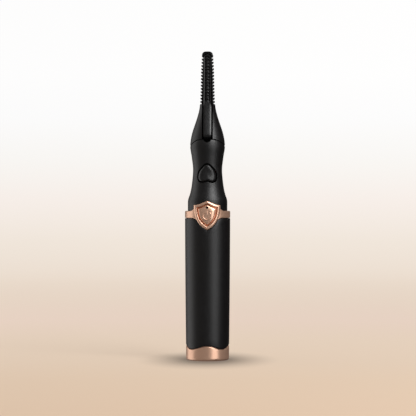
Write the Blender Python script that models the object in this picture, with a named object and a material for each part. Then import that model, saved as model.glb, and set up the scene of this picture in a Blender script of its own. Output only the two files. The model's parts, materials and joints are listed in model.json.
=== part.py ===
"""A rechargeable heated eyelash curler: a round handle, a waisted neck, a comb head and a sprung clamp arm.

Z is up, the front (both buttons and the clamp arm) faces -Y, and the origin is the centre of the foot.
Sizes and places are in millimetres, and the functions that make meshes turn them into metres.
"""

import math

import bmesh
import bpy
from mathutils import Vector

MM = 0.001
GAP = 0.2  # between neighbouring pieces

# Driving dimensions of the outside.
HEIGHT = 150.0
FOOT_RADIUS = 10.45
FOOT_CORNER = 1.2
FOOT_EDGE_Z = 6.3
FOOT_EDGE_WAVE = 0.83
BARREL_TOP_Z = 69.0
BARREL_WALL = 1.5
RING_RADIUS = 11.0
RING_TOP_Z = 72.5
RING_BORE = 9.8
SKIRT_RADIUS = 9.3
SKIRT_BOTTOM_Z = 60.0
SKIRT_BORE = 8.0
NECK_WALL = 1.4
SEAM_Z = 107.1
SEAM_DROP = 3.0
NOSE_TOP_Z = 124.5
NOSE_WALL = 1.2
SLOT_WIDTH = 5.05

# Outer radius of the neck and nose at each height: shoulder, waist, shoulder again, and a taper to the comb.
NECK_STATIONS = (
    (68.0, 9.6),
    (76.5, 9.6),
    (78.2, 9.42),
    (80.7, 8.57),
    (84.6, 7.76),
    (92.4, 7.06),
    (98.3, 7.67),
    (104.1, 8.45),
    (109.9, 7.62),
    (117.7, 5.09),
    (121.6, 4.07),
    (124.5, 3.65),
)

# Shield and its button panel, as half outlines (x, z) from the top point to the bottom tip.
SHIELD_HALF = (
    (0, 77.35),
    (2.5, 76.5),
    (4.1, 75.7),
    (6.4, 75.4),
    (6.3, 73.9),
    (5.1, 68.3),
    (3.2, 66.25),
    (0, 63.3),
)
PANEL_HALF = (
    (0, 76.0),
    (2.0, 75.2),
    (4.9, 74.1),
    (4.45, 71.4),
    (3.5, 68.6),
    (1.9, 66.7),
    (0, 65.7),
)
SHIELD_RADIUS = 11.35
PANEL_RADIUS = 11.55
PANEL_BACK = 10.2
LIGHT_Z = 74.1
SWITCH_Z = 70.2

# Clamp button.
HEART_Z = 90.6
HEART_PROUD = 0.55
HEART_GAP = 0.4

# Clamp arm, its hinge and its spring.
PIVOT_Y = -4.2
PIVOT_Z = 101.0
PIN_RADIUS = 0.75
PIN_LENGTH = 8.4
EYE_RADIUS = 1.9
ARM_WIDTH = 3.9
ARM_TIP_WIDTH = 3.4
ARM_THICKNESS = 1.6
ARM_PROUD = 0.15
ARM_TOP_Z = 148.4
ARM_TAIL_Z = 89.0
TAIL_BACK_Y = -1.9
PUSH_Z = 90.3
SPRING_RADIUS = 1.5
SPRING_WIRE = 0.18
SPRING_TURNS = 6
SPRING_BACK_Y = 5.3

# Comb head.
COMB_BASE_Z = 124.7
CAP_Z = 148.8
COMB_TIP_STATIONS = ((124.0, 3.58), (134.0, 3.30), (140.0, 3.16), (147.0, 2.80), (150.0, 2.65))
TOOTH_LENGTH = 0.6
TOOTH_PITCH = 1.588
TOOTH_COUNT = 15
FIRST_TOOTH_Z = 125.4
COMB_FRONT_Y = -1.9
COMB_BACK_Y = 3.0
COMB_FLOOR_Y = 1.1
STEM_BOTTOM_Z = 113.0
PLATE_FRONT_Y = -0.75
PAD_FRONT_Y = -1.95
PAD_THICKNESS = 0.9

# Inside the handle.
BOARD_FRONT_Y = -5.6
BOARD_THICKNESS = 1.0
BOARD_HALF_WIDTH = 5.4
BATTERY_Y = 1.6
BATTERY_RADIUS = 5.1
BATTERY_BOTTOM_Z = 13.8
BATTERY_TOP_Z = 57.5
FRAME_RADIUS = 8.7
FRAME_BOTTOM_Z = 9.0
FRAME_TOP_Z = 66.0
USB_Y = -5.0
USB_WIDTH = 8.9
USB_THICKNESS = 3.2
USB_TOP_Z = 7.7
UPPER_SCREW_Z = 63.0
LOWER_SCREW_Z = 10.7
NECK_SCREW_Z = 64.0

# Name: colour, roughness, metallic.
FINISHES = {
    "soft_touch_black": ((0.012, 0.011, 0.013), 0.5, 0.0),
    "rose_gold": ((0.72, 0.44, 0.31), 0.22, 1.0),
    "comb_black": ((0.010, 0.010, 0.011), 0.4, 0.0),
    "silicone_grey": ((0.09, 0.09, 0.10), 0.6, 0.0),
    "steel": ((0.60, 0.60, 0.62), 0.3, 1.0),
    "aluminium": ((0.75, 0.75, 0.77), 0.35, 1.0),
    "heater_film": ((0.45, 0.20, 0.04), 0.4, 0.0),
    "frame_grey": ((0.30, 0.30, 0.31), 0.6, 0.0),
    "battery_wrap": ((0.05, 0.12, 0.35), 0.35, 0.0),
    "nickel": ((0.66, 0.64, 0.58), 0.3, 1.0),
    "board_green": ((0.02, 0.16, 0.07), 0.45, 0.0),
    "chip_black": ((0.02, 0.02, 0.02), 0.4, 0.0),
    "lens_white": ((0.85, 0.88, 0.90), 0.15, 0.0),
    "wire_red": ((0.50, 0.02, 0.02), 0.45, 0.0),
    "wire_black": ((0.02, 0.02, 0.02), 0.45, 0.0),
    "wire_white": ((0.75, 0.75, 0.72), 0.45, 0.0),
}


# Curves that several pieces share.


def smooth_value(stations, z):
    """The value at height z on a smooth curve through the stations, level at both ends."""
    last = len(stations) - 1
    index = 0
    while index < last - 1 and z > stations[index + 1][0]:
        index += 1
    (z0, v0), (z1, v1) = stations[index], stations[index + 1]
    slope0 = station_slope(stations, index)
    slope1 = station_slope(stations, index + 1)
    t = min(max((z - z0) / (z1 - z0), 0.0), 1.0)
    rise = (z1 - z0) * ((t**3 - 2 * t**2 + t) * slope0 + (t**3 - t**2) * slope1)
    return v0 * (2 * t**3 - 3 * t**2 + 1) + v1 * (3 * t**2 - 2 * t**3) + rise


def station_slope(stations, index):
    """The curve's slope at a station: the mean of the slopes on its two sides."""
    before = stations[max(index - 1, 0)]
    after = stations[min(index + 1, len(stations) - 1)]
    return (after[1] - before[1]) / (after[0] - before[0])


def neck_radius(z):
    return smooth_value(NECK_STATIONS, z)


def comb_half_width(z):
    """Half the comb's width at the tips of its teeth."""
    return smooth_value(COMB_TIP_STATIONS, z)


def barrel_radius(z):
    """The barrel narrows a little towards the foot, in a long shallow arc."""
    below_top = BARREL_TOP_Z - z
    return RING_RADIUS - 0.0042 * below_top - 0.000064 * below_top**2


def foot_edge(angle):
    """Height of the foot cap's wavy edge, highest at the front, the back and both sides."""
    return FOOT_EDGE_Z + FOOT_EDGE_WAVE * math.cos(4 * angle)


def seam_height(angle):
    """Height of the seam between neck and nose: high at the front and the back, lower at the sides."""
    return SEAM_Z - SEAM_DROP * abs(math.cos(angle)) ** 3.3


def between(low, high, count):
    """count + 1 values from low to high."""
    return [low + (high - low) * i / count for i in range(count + 1)]


# Meshes.


def finish(name):
    if name in bpy.data.materials:
        return bpy.data.materials[name]
    colour, roughness, metallic = FINISHES[name]
    material = bpy.data.materials.new(name)
    material.use_nodes = True
    shader = material.node_tree.nodes["Principled BSDF"]
    shader.inputs["Base Color"].default_value = (*colour, 1.0)
    shader.inputs["Roughness"].default_value = roughness
    shader.inputs["Metallic"].default_value = metallic
    material.diffuse_color = (*colour, 1.0)
    return material


def mesh_object(name, points, faces, surface, origin=(0, 0, 0)):
    """A smooth-shaded mesh with its normals outward, and its object's origin at the given point."""
    shape = bmesh.new()
    offset = Vector(origin)
    corners = [shape.verts.new((Vector(p) - offset) * MM) for p in points]
    for face in faces:
        shape.faces.new([corners[i] for i in face])
    bmesh.ops.recalc_face_normals(shape, faces=shape.faces)
    mesh = bpy.data.meshes.new(name)
    shape.to_mesh(mesh)
    shape.free()
    mesh.shade_smooth()
    mesh.set_sharp_from_angle(angle=math.radians(35))
    mesh.materials.append(finish(surface))
    made = bpy.data.objects.new(name, mesh)
    made.location = offset * MM
    bpy.context.scene.collection.objects.link(made)
    return made


def loft(name, rings, surface, origin=(0, 0, 0)):
    """A closed solid through rings of points, one after the other, with a flat cap at each end."""
    count = len(rings[0])
    points = [point for ring in rings for point in ring]
    faces = []
    for level in range(len(rings) - 1):
        for i in range(count):
            a, b = level * count + i, level * count + (i + 1) % count
            faces.append((a, b, b + count, a + count))
    faces.append(tuple(range(count)))
    faces.append(tuple(len(points) - count + i for i in range(count)))
    return mesh_object(name, points, faces, surface, origin)


def turned_shell(name, profile, surface, segments=40, arc=(0, 360)):
    """A closed profile of (radius, height) swept about Z, all the way round or along an arc with flat ends.

    The profile is a function of the angle, which starts at +X, so a rim can rise and fall.
    """
    first, last = (math.radians(a) for a in arc)
    whole = arc[1] - arc[0] == 360
    rings = []
    for angle in between(first, last, segments)[: segments if whole else segments + 1]:
        along = (math.cos(angle), math.sin(angle))
        rings.append([(r * along[0], r * along[1], z) for r, z in profile(angle)])
    if not whole:
        return loft(name, rings, surface)
    count = len(rings[0])
    points = [point for ring in rings for point in ring]
    faces = []
    for s in range(segments):
        here, there = s * count, (s + 1) % segments * count
        for i in range(count):
            j = (i + 1) % count
            faces.append((here + i, here + j, there + j, there + i))
    return mesh_object(name, points, faces, surface)


def turned_solid(name, profile, surface, segments=40):
    """A profile of (radius, height), from the bottom centre to the top centre, swept about Z."""
    points = [(0, 0, profile(0)[0][1]), (0, 0, profile(0)[-1][1])]
    inner = len(profile(0)) - 2
    for s in range(segments):
        angle = 2 * math.pi * s / segments
        points += [(r * math.cos(angle), r * math.sin(angle), z) for r, z in profile(angle)[1:-1]]
    faces = []
    for s in range(segments):
        here, there = 2 + s * inner, 2 + (s + 1) % segments * inner
        faces.append((0, here, there))
        faces.append((1, here + inner - 1, there + inner - 1))
        for i in range(inner - 1):
            faces.append((here + i, there + i, there + i + 1, here + i + 1))
    return mesh_object(name, points, faces, surface)


def placed(outline, axis, level):
    """A flat outline set across an axis: (x, y) across Z, (x, z) across Y, (y, z) across X."""
    place = "XYZ".index(axis)
    return [(*point[:place], level, *point[place:]) for point in outline]


def prism(name, outline, axis, low, high, surface, origin=(0, 0, 0)):
    rings = [placed(outline, axis, low), placed(outline, axis, high)]
    return loft(name, rings, surface, origin)


def rectangle(left, right, low, high):
    return [(left, low), (right, low), (right, high), (left, high)]


def circle(centre, radius, count=20):
    turns = [2 * math.pi * (i + 0.5) / count for i in range(count)]
    return [(centre[0] + radius * math.cos(t), centre[1] + radius * math.sin(t)) for t in turns]


def stadium(centre, width, height, count=6):
    """A slot shape with round ends, wide along its first axis."""
    straight = (width - height) / 2
    points = []
    for side in (1, -1):
        for turn in between(-math.pi / 2, math.pi / 2, count):
            x = side * (straight + math.cos(turn) * height / 2)
            points.append((centre[0] + x, centre[1] + side * math.sin(turn) * height / 2))
    return points


def box(name, x, y, z, surface):
    return prism(name, rectangle(*x, *y), "Z", z[0], z[1], surface)


def mirrored(half):
    """A whole outline from its right half, which starts and ends on the centre line."""
    return list(half) + [(-x, z) for x, z in reversed(half[1:-1])]


def grown(outline, margin):
    """The outline moved outward by the margin, corner by corner."""
    area = sum(a[0] * b[1] - b[0] * a[1] for a, b in zip(outline, outline[1:] + outline[:1]))
    outward = -math.copysign(margin, area)
    moved = []
    for i, corner in enumerate(outline):
        before = (Vector(corner) - Vector(outline[i - 1])).normalized()
        after = (Vector(outline[(i + 1) % len(outline)]) - Vector(corner)).normalized()
        normal = Vector((-before.y - after.y, before.x + after.x))
        normal.normalize()
        spread = max(normal.dot(Vector((-before.y, before.x))), 0.5)
        moved.append(tuple(Vector(corner) + normal * outward / spread))
    return moved


def helper(made):
    """A guide for a Boolean, left out of the finished object."""
    made.hide_render = True
    made.display_type = "WIRE"
    return made


def combine(target, other, operation):
    step = target.modifiers.new(operation.title() + " " + other.name, "BOOLEAN")
    step.operation = operation
    step.solver = "EXACT"
    step.object = helper(other)
    return target


def cut(target, other):
    return combine(target, other, "DIFFERENCE")


def add(target, other):
    return combine(target, other, "UNION")


def keep(target, other):
    return combine(target, other, "INTERSECT")


def wire(name, route, radius, surface, points_between=3):
    """A round wire along a smooth curve through the route's points."""
    ends = [Vector(route[0]) * 2 - Vector(route[1]), Vector(route[-1]) * 2 - Vector(route[-2])]
    guide = [ends[0]] + [Vector(p) for p in route] + [ends[1]]
    path = []
    for a, b, c, d in zip(guide, guide[1:], guide[2:], guide[3:]):
        for i in range(points_between):
            t = i / points_between
            bend = (2 * a - 5 * b + 4 * c - d) * t**2 + (3 * b - a - 3 * c + d) * t**3
            path.append(0.5 * (2 * b + (c - a) * t + bend))
    return round_curve(name, path + [guide[-2]], radius, surface)


def round_curve(name, path, radius, surface):
    curve = bpy.data.curves.new(name, "CURVE")
    curve.dimensions = "3D"
    curve.bevel_depth = radius * MM
    curve.bevel_resolution = 2
    curve.use_fill_caps = True
    spline = curve.splines.new("POLY")
    spline.points.add(len(path) - 1)
    for point, place in zip(spline.points, path):
        point.co = (*(Vector(place) * MM), 1.0)
    spline.use_smooth = True
    curve.materials.append(finish(surface))
    made = bpy.data.objects.new(name, curve)
    bpy.context.scene.collection.objects.link(made)
    return made


# Handle.


def foot_profile(angle):
    """Half section of the foot cap: flat bottom, round corner, wavy edge and a spigot inside the barrel."""
    corner = FOOT_RADIUS - FOOT_CORNER
    edge = foot_edge(angle)
    spigot = barrel_radius(0) - BARREL_WALL - GAP
    points = [(0, 0)]
    for turn in between(0, math.pi / 2, 4):
        points.append((corner + FOOT_CORNER * math.sin(turn), FOOT_CORNER * (1 - math.cos(turn))))
    points += [(FOOT_RADIUS, edge - 0.4), (FOOT_RADIUS - 0.15, edge - 0.1), (FOOT_RADIUS - 0.4, edge)]
    points += [(spigot, edge), (spigot, 11.0), (7.95, 11.0), (7.95, 1.6), (0, 1.6)]
    return points


def make_foot_cap():
    cap = turned_solid("foot_cap", foot_profile, "rose_gold")
    slot = stadium((0, USB_Y), USB_WIDTH + 0.5, USB_THICKNESS + 0.4)
    return cut(cap, prism("usb_slot", slot, "Z", -1, 3, "steel"))


def barrel_profile(angle):
    bottom = foot_edge(angle) + GAP
    heights = between(bottom + 0.5, BARREL_TOP_Z, 7)
    outside = [(barrel_radius(z), z) for z in heights]
    inside = [(barrel_radius(z) - BARREL_WALL, z) for z in (BARREL_TOP_Z, 45.0, 22.0, bottom)]
    rim = barrel_radius(bottom)
    return [(rim - 0.4, bottom), (rim - 0.1, bottom + 0.15)] + outside + inside


def make_barrel():
    barrel = turned_shell("barrel", barrel_profile, "soft_touch_black")
    notch = grown(mirrored(SHIELD_HALF), 0.3)
    return cut(barrel, prism("shield_notch", notch, "Y", -14, -5, "steel"))


def band_profile(angle):
    del angle
    low, high = BARREL_TOP_Z + GAP, RING_TOP_Z
    return [
        (RING_BORE, low),
        (RING_RADIUS, low),
        (RING_RADIUS, high - 0.5),
        (RING_RADIUS - 0.15, high - 0.15),
        (RING_RADIUS - 0.5, high),
        (RING_BORE, high),
    ]


def shield_layer(name, inner, outer):
    """A tube about the handle, as high as the shield, that gives the shield pieces their curve."""
    return turned_shell(name, lambda angle: rectangle(inner, outer, 60, 80), "steel", 62)


def make_shield_ring():
    ring = turned_shell("shield_ring", band_profile, "rose_gold", 60)
    shield = prism("shield_plate", mirrored(SHIELD_HALF), "Y", -14, -4, "rose_gold")
    keep(shield, shield_layer("shield_curve", RING_BORE, SHIELD_RADIUS))
    add(ring, shield)
    return cut(ring, prism("panel_opening", grown(mirrored(PANEL_HALF), 0.25), "Y", -14, -4, "steel"))


def make_power_button():
    origin = (0, -PANEL_RADIUS, SWITCH_Z)
    panel = prism("power_button", mirrored(PANEL_HALF), "Y", -14, -4, "rose_gold", origin)
    keep(panel, shield_layer("panel_curve", PANEL_BACK, PANEL_RADIUS))
    add(panel, box("button_stem", (-2.2, 2.2), (-10.6, -8.5), (68.2, 72.2), "steel"))
    return cut(panel, prism("light_hole", circle((0, LIGHT_Z), 0.62, 16), "Y", -14, -9, "steel"))


def make_status_light():
    lens = circle((0, LIGHT_Z), 0.42, 16)
    prism("status_light_lens", lens, "Y", -PANEL_RADIUS + 0.15, -7.1, "lens_white")
    height = (LIGHT_Z - 0.8, LIGHT_Z + 0.8)
    box("status_led", (-0.8, 0.8), (-6.5, BOARD_FRONT_Y - 0.1), height, "lens_white")


# Neck and nose.


def neck_profile(angle):
    top = seam_height(angle) - GAP / 2
    heights = [76.5, 78.2, 80.7, 84.6, 88.5, 92.4, 96.3, 100.2]
    heights += between(102.5, top, 2)
    outside = [(SKIRT_RADIUS, SKIRT_BOTTOM_Z), (SKIRT_RADIUS, 68.8), (9.6, 69.3)]
    outside += [(neck_radius(z), z) for z in heights]
    inside = [(neck_radius(z) - NECK_WALL, z) for z in reversed(heights) if z > 79]
    return outside + inside + [(SKIRT_BORE, 78.2), (SKIRT_BORE, SKIRT_BOTTOM_Z)]


def heart_outline(scale=1.0, margin=0.0):
    """An upside-down heart with its point up, from a few cosine terms of the angle from the point."""
    points = []
    for i in range(28):
        turn = 2 * math.pi * i / 28
        terms = (4.16, -0.36, -0.09, 0.56, -0.16, 0.17)
        reach = scale * sum(size * math.cos(n * turn) for n, size in enumerate(terms)) + margin
        points.append((reach * math.sin(turn), HEART_Z + reach * math.cos(turn)))
    return points


def make_neck_front_shell():
    shell = turned_shell("neck_front_shell", neck_profile, "soft_touch_black", 24, (180.7, 359.3))
    for side in (1, -1):
        across = sorted((side * 2.1, side * 4.3))
        add(shell, box(f"hinge_lug_{side}", across, (-6.3, -2.4), (99.0, 103.0), "steel"))
    bore = circle((PIVOT_Y, PIVOT_Z), PIN_RADIUS + 0.15)
    cut(shell, prism("pin_bore", bore, "X", -4.5, 4.5, "steel"))
    cut(shell, box("pin_entry", (-4.4, 4.4), (PIVOT_Y, 0), (PIVOT_Z - 0.65, PIVOT_Z + 0.65), "steel"))
    cut(shell, box("stem_window", (-2.6, 2.6), (-12, -5), (67.8, 72.6), "steel"))
    cut(shell, prism("light_window", circle((0, LIGHT_Z), 0.75, 16), "Y", -12, -5, "steel"))
    cut(shell, prism("heart_opening", heart_outline(margin=HEART_GAP), "Y", -12, -0.5, "steel"))
    return cut(shell, prism("arm_notch", circle((0, SEAM_Z + 0.9), 2.2), "Y", -12, -3, "steel"))


def make_neck_back_shell():
    shell = turned_shell("neck_back_shell", neck_profile, "soft_touch_black", 24, (0.7, 179.3))
    add(shell, prism("spring_post", circle((0, PUSH_Z), 0.9, 12), "Y", 3.8, 6.4, "steel"))
    add(shell, prism("screw_boss", circle((0, NECK_SCREW_Z), 2.3), "Y", 7.1, 8.5, "steel"))
    cut(shell, prism("screw_hole", circle((0, NECK_SCREW_Z), 0.95), "Y", 6, 10, "steel"))
    return cut(shell, prism("screw_recess", circle((0, NECK_SCREW_Z), 1.75), "Y", 8.25, 10, "steel"))


def make_clamp_button():
    origin = (0, -neck_radius(HEART_Z) - HEART_PROUD, HEART_Z)
    button = prism("clamp_button", heart_outline(), "Y", -12, -2, "soft_touch_black", origin)
    heights = between(84.0, 97.5, 6)
    dome = [(neck_radius(z) + HEART_PROUD, z) for z in heights]
    keep(button, turned_shell("heart_curve", lambda angle: dome + [(4.7, 97.5), (4.7, 84.0)], "steel", 48))
    flange = prism("heart_flange", heart_outline(1.15), "Y", -7, -1.5, "steel")
    flange_wall = [(4.6, 84), (5.4, 84), (5.4, 98), (4.6, 98)]
    keep(flange, turned_shell("flange_curve", lambda angle: flange_wall, "steel", 48))
    add(button, flange)
    return add(button, box("push_nub", (-1.2, 1.2), (-5.0, -4.35), (PUSH_Z - 0.6, PUSH_Z + 0.6), "steel"))


def nose_profile(angle):
    bottom = seam_height(angle) + GAP / 2
    heights = between(bottom, 112.0, 2) + between(114.5, NOSE_TOP_Z, 4)
    outside = [(neck_radius(z), z) for z in heights]
    inside = [(neck_radius(z) - NOSE_WALL, z) for z in (118.0, 112.0)]
    spigot = NECK_WALL + GAP
    inside.append((neck_radius(bottom) - spigot - 0.9, bottom + 0.8))
    lip = [(neck_radius(z) - spigot - 0.9, z) for z in (103.3,)] + [(neck_radius(103.3) - spigot, 103.3)]
    step = [(neck_radius(bottom) - spigot, bottom)]
    return outside + [(2.85, NOSE_TOP_Z), (2.85, 121.5)] + inside + lip + step


def make_nose_cone():
    nose = turned_shell("nose_cone", nose_profile, "soft_touch_black", 48)
    half = SLOT_WIDTH / 2
    return cut(nose, box("arm_slot", (-half, half), (-12, -1.6), (100, 130), "steel"))


# Comb head.


def d_ring(z, half_width, front, back, count=8):
    """A D-shaped ring: straight sides from the front, and half an ellipse for the back."""
    shoulder = back - half_width * 0.8
    ring = [(half_width, front, z)]
    for turn in between(0, math.pi, count):
        ring.append((half_width * math.cos(turn), shoulder + (back - shoulder) * math.sin(turn), z))
    ring.append((-half_width, front, z))
    return ring


def root_half_width(z):
    return comb_half_width(z) - TOOTH_LENGTH


def tooth_rings(z, side):
    """The two ends of one tooth: a wedge that leans upward to its tip."""
    root = root_half_width(z) - 0.35
    tip = comb_half_width(z + 0.8)
    right = [(root, z), (tip - 0.15, z + 0.75), (tip, z + 0.95), (root, z + 0.85)]
    outline = [(side * x, height) for x, height in right]
    return [placed(outline, "Y", COMB_FRONT_Y + 0.25), placed(outline, "Y", 1.4)]


def make_comb_head():
    stem = (1.95, -0.9, 2.6)
    rings = [d_ring(STEM_BOTTOM_Z, *stem), d_ring(COMB_BASE_Z, *stem)]
    for z in between(COMB_BASE_Z, CAP_Z, 4):
        rings.append(d_ring(z, root_half_width(z), COMB_FRONT_Y, COMB_BACK_Y))
    head = loft("comb_head", rings, "comb_black")
    for i in range(TOOTH_COUNT):
        for side in (1, -1):
            tooth = tooth_rings(FIRST_TOOTH_Z + i * TOOTH_PITCH, side)
            add(head, loft(f"tooth_{i}_{side}", tooth, "steel"))
    channel = []
    for z in (COMB_BASE_Z - 1, CAP_Z - 0.3):
        half = root_half_width(z) - 0.65
        channel.append(placed(rectangle(-half, half, COMB_FRONT_Y - 2, COMB_FLOOR_Y), "Z", z))
    cut(head, loft("heater_channel", channel, "steel"))
    cut(head, box("stem_channel", (-1.25, 1.25), (-4, 1.9), (STEM_BOTTOM_Z - 1, COMB_BASE_Z), "steel"))
    levels = ((CAP_Z - 0.1, 2.62), (149.2, 2.55), (149.75, 2.2), (HEIGHT, 1.4))
    cap = [d_ring(z, half, -half - 0.9, half + 0.3) for z, half in levels]
    return add(head, loft("comb_cap", cap, "steel"))


def make_heater():
    half = 1.35
    plate_back = PLATE_FRONT_Y + 0.8
    plate_z = (COMB_BASE_Z + 0.2, CAP_Z - 0.8)
    box("heat_plate", (-half, half), (PLATE_FRONT_Y, plate_back), plate_z, "aluminium")
    strip_y = (plate_back + 0.15, plate_back + 0.85)
    box("heater_strip", (-0.95, 0.95), strip_y, (STEM_BOTTOM_Z - 0.6, CAP_Z - 1.4), "heater_film")
    bead = stadium((1.35, 118.6), 0.7, 0.7, 5)
    prism("thermistor", bead, "X", -0.6, 0.6, "chip_black")


def arm_front(z):
    """The clamp arm's front lies just proud of the nose, then runs straight up in front of the comb."""
    return -(neck_radius(min(z, NOSE_TOP_Z)) + ARM_PROUD)


def arm_outline():
    """Side view (y, z) of the clamp arm, up its back and down its front."""
    heights = between(110.5, NOSE_TOP_Z, 5)
    back = [(TAIL_BACK_Y, ARM_TAIL_Z), (TAIL_BACK_Y, 96.5), (PIVOT_Y + EYE_RADIUS, PIVOT_Z)]
    back += [(-3.7, 103.4), (-3.7, 107.2), (-6.2, 109.3)]
    back += [(arm_front(z) + ARM_THICKNESS, z) for z in heights]
    back += [(arm_front(ARM_TOP_Z) + ARM_THICKNESS, ARM_TOP_Z)]
    front = [(arm_front(ARM_TOP_Z), ARM_TOP_Z)]
    front += [(arm_front(z), z) for z in reversed(heights)]
    front += [(arm_front(109.2), 109.2), (-7.6, 108.2), (-5.6, 107.0), (-5.5, 103.4)]
    front += [(PIVOT_Y - EYE_RADIUS, PIVOT_Z + 0.6), (PIVOT_Y - EYE_RADIUS, PIVOT_Z - 0.6), (-5.2, 99.2)]
    front += [(-3.45, 97.8), (-3.3, 92.2), (-4.15, 91.2), (-4.15, 89.5), (-3.6, ARM_TAIL_Z)]
    return back + front


def make_clamp_arm():
    pivot = (0, PIVOT_Y, PIVOT_Z)
    outline = arm_outline()
    rings = []
    for side in (-1, 1):
        ring = []
        for y, z in outline:
            taper = min(max((z - 108.0) / (ARM_TOP_Z - 108.0), 0.0), 1.0)
            width = ARM_WIDTH + (ARM_TIP_WIDTH - ARM_WIDTH) * taper
            ring.append((side * width / 2, y, z))
        rings.append(ring)
    arm = loft("clamp_arm", rings, "soft_touch_black", pivot)
    cut(arm, prism("pin_hole", circle((PIVOT_Y, PIVOT_Z), PIN_RADIUS + 0.2), "X", -5, 5, "steel"))
    post_y = (TAIL_BACK_Y - 0.3, TAIL_BACK_Y + 1.0)
    return add(arm, prism("tail_post", circle((0, PUSH_Z), 0.9, 12), "Y", *post_y, "steel"))


def make_clamp_parts():
    half = 1.15
    pad_back = PAD_FRONT_Y + PAD_THICKNESS
    pad_z = (COMB_BASE_Z + 0.6, CAP_Z - 0.9)
    box("clamp_pad", (-half, half), (PAD_FRONT_Y, pad_back), pad_z, "silicone_grey")
    pin = circle((PIVOT_Y, PIVOT_Z), PIN_RADIUS)
    prism("hinge_pin", pin, "X", -PIN_LENGTH / 2, PIN_LENGTH / 2, "steel", (0, PIVOT_Y, PIVOT_Z))
    front_y = TAIL_BACK_Y + 0.15 + SPRING_WIRE
    back_y = SPRING_BACK_Y - SPRING_WIRE
    coil = []
    for i in range(SPRING_TURNS * 10 + 1):
        turn = 2 * math.pi * i / 10
        y = front_y + (back_y - front_y) * i / (SPRING_TURNS * 10)
        coil.append((SPRING_RADIUS * math.cos(turn), y, PUSH_Z + SPRING_RADIUS * math.sin(turn)))
    return round_curve("clamp_spring", coil, SPRING_WIRE, "steel")


# Inside the handle.


def make_inner_frame():
    """A trough that cradles the battery and carries the board, with four ribs against the barrel."""
    trough = circle((0, BATTERY_Y), BATTERY_RADIUS + 1.4, 28)
    frame = prism("inner_frame", trough, "Z", FRAME_BOTTOM_Z, FRAME_TOP_Z, "frame_grey")
    front = rectangle(-6.5, 6.5, -5, BATTERY_Y)
    add(frame, prism("trough_front", front, "Z", FRAME_BOTTOM_Z, FRAME_TOP_Z, "steel"))
    for i, z in enumerate((13.0, 28.0, 42.0, 55.5)):
        add(frame, prism(f"frame_rib_{i}", circle((0, 0), FRAME_RADIUS, 32), "Z", z, z + 1.6, "steel"))
    pocket = circle((0, BATTERY_Y), BATTERY_RADIUS + 0.2, 28)
    cut(frame, prism("battery_pocket", pocket, "Z", 12.4, 60.2, "steel"))
    half = BATTERY_RADIUS + 0.2
    cut(frame, prism("pocket_mouth", rectangle(-half, half, -12, BATTERY_Y), "Z", 12.4, 60.2, "steel"))
    cut(frame, box("board_seat", (-12, 12), (-12, BOARD_FRONT_Y + BOARD_THICKNESS + GAP), (0, 80), "steel"))
    for z in (UPPER_SCREW_Z, LOWER_SCREW_Z):
        cut(frame, prism(f"board_screw_hole_{z:.0f}", circle((0, z), 0.95, 12), "Y", -5, 0.6, "steel"))
    cut(frame, box("neck_screw_seat", (-4, 4), (6.9, 12), (59.4, 70), "steel"))
    cut(frame, prism("neck_screw_hole", circle((0, NECK_SCREW_Z), 0.95, 12), "Y", 1.5, 10, "steel"))
    cut(frame, turned_shell("spigot_fit", lambda angle: rectangle(7.7, 12, 8, 11.3), "steel"))
    return cut(frame, turned_shell("skirt_fit", lambda angle: rectangle(7.7, 12, 59.7, 70), "steel"))


def battery_profile(angle):
    del angle
    top, radius = BATTERY_TOP_Z, BATTERY_RADIUS
    low = BATTERY_BOTTOM_Z
    crimp = [(radius - 0.4, low), (radius, low + 0.4), (radius, top - 2.4), (radius - 0.35, top - 2.0)]
    crown = [(radius - 0.35, top - 1.6), (radius, top - 1.2), (radius, top - 0.3), (radius - 0.3, top)]
    return [(0, low)] + crimp + crown + [(2.0, top), (2.0, top + 0.8), (0, top + 0.8)]


def make_battery():
    battery = turned_solid("battery_cell", battery_profile, "battery_wrap", 28)
    battery.location.y = BATTERY_Y * MM
    back_of_board = BOARD_FRONT_Y + BOARD_THICKNESS
    for name, z, lean in (("positive", 58.5, 1), ("negative", 13.2, -1)):
        plate_y = (back_of_board + 0.2, BATTERY_Y + 2.5)
        plate_z = sorted((z, z + 0.3 * lean))
        tab = box(f"battery_tab_{name}", (-2.2, 2.2), plate_y, plate_z, "nickel")
        foot_z = sorted((z + 0.3 * lean, z - 3.0 * lean))
        foot_y = (back_of_board + 0.15, back_of_board + 0.45)
        add(tab, box(f"tab_foot_{name}", (-2.2, 2.2), foot_y, foot_z, "steel"))


def make_board():
    half = BOARD_HALF_WIDTH
    notch = USB_WIDTH / 2 + GAP
    right = [(0, 79.0), (4.2, 79.0), (4.2, 72.5), (half, 71.3)]
    right += [(half, 2.4), (notch, 2.4), (notch, 8.0), (0, 8.0)]
    back = BOARD_FRONT_Y + BOARD_THICKNESS
    board = prism("circuit_board", mirrored(right), "Y", BOARD_FRONT_Y, back, "board_green")
    for name, z in (("upper", UPPER_SCREW_Z), ("lower", LOWER_SCREW_Z)):
        cut(board, prism(f"board_hole_{name}", circle((0, z), 1.0, 12), "Y", -7, -3, "steel"))
        screw(f"board_screw_{name}", z, BOARD_FRONT_Y - 0.15, 0.9, 5.2, 1)
    chips = (
        ("charger_chip", 1.5, 20.0, 0.8),
        ("controller_chip", 2.0, 33.0, 0.9),
        ("heater_switch_chip", 1.6, 48.0, 1.1),
    )
    for name, size, z, height in chips:
        depth = (BOARD_FRONT_Y - 0.1 - height, BOARD_FRONT_Y - 0.1)
        box(name, (-size, size), depth, (z - size, z + size), "chip_black")


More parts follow.
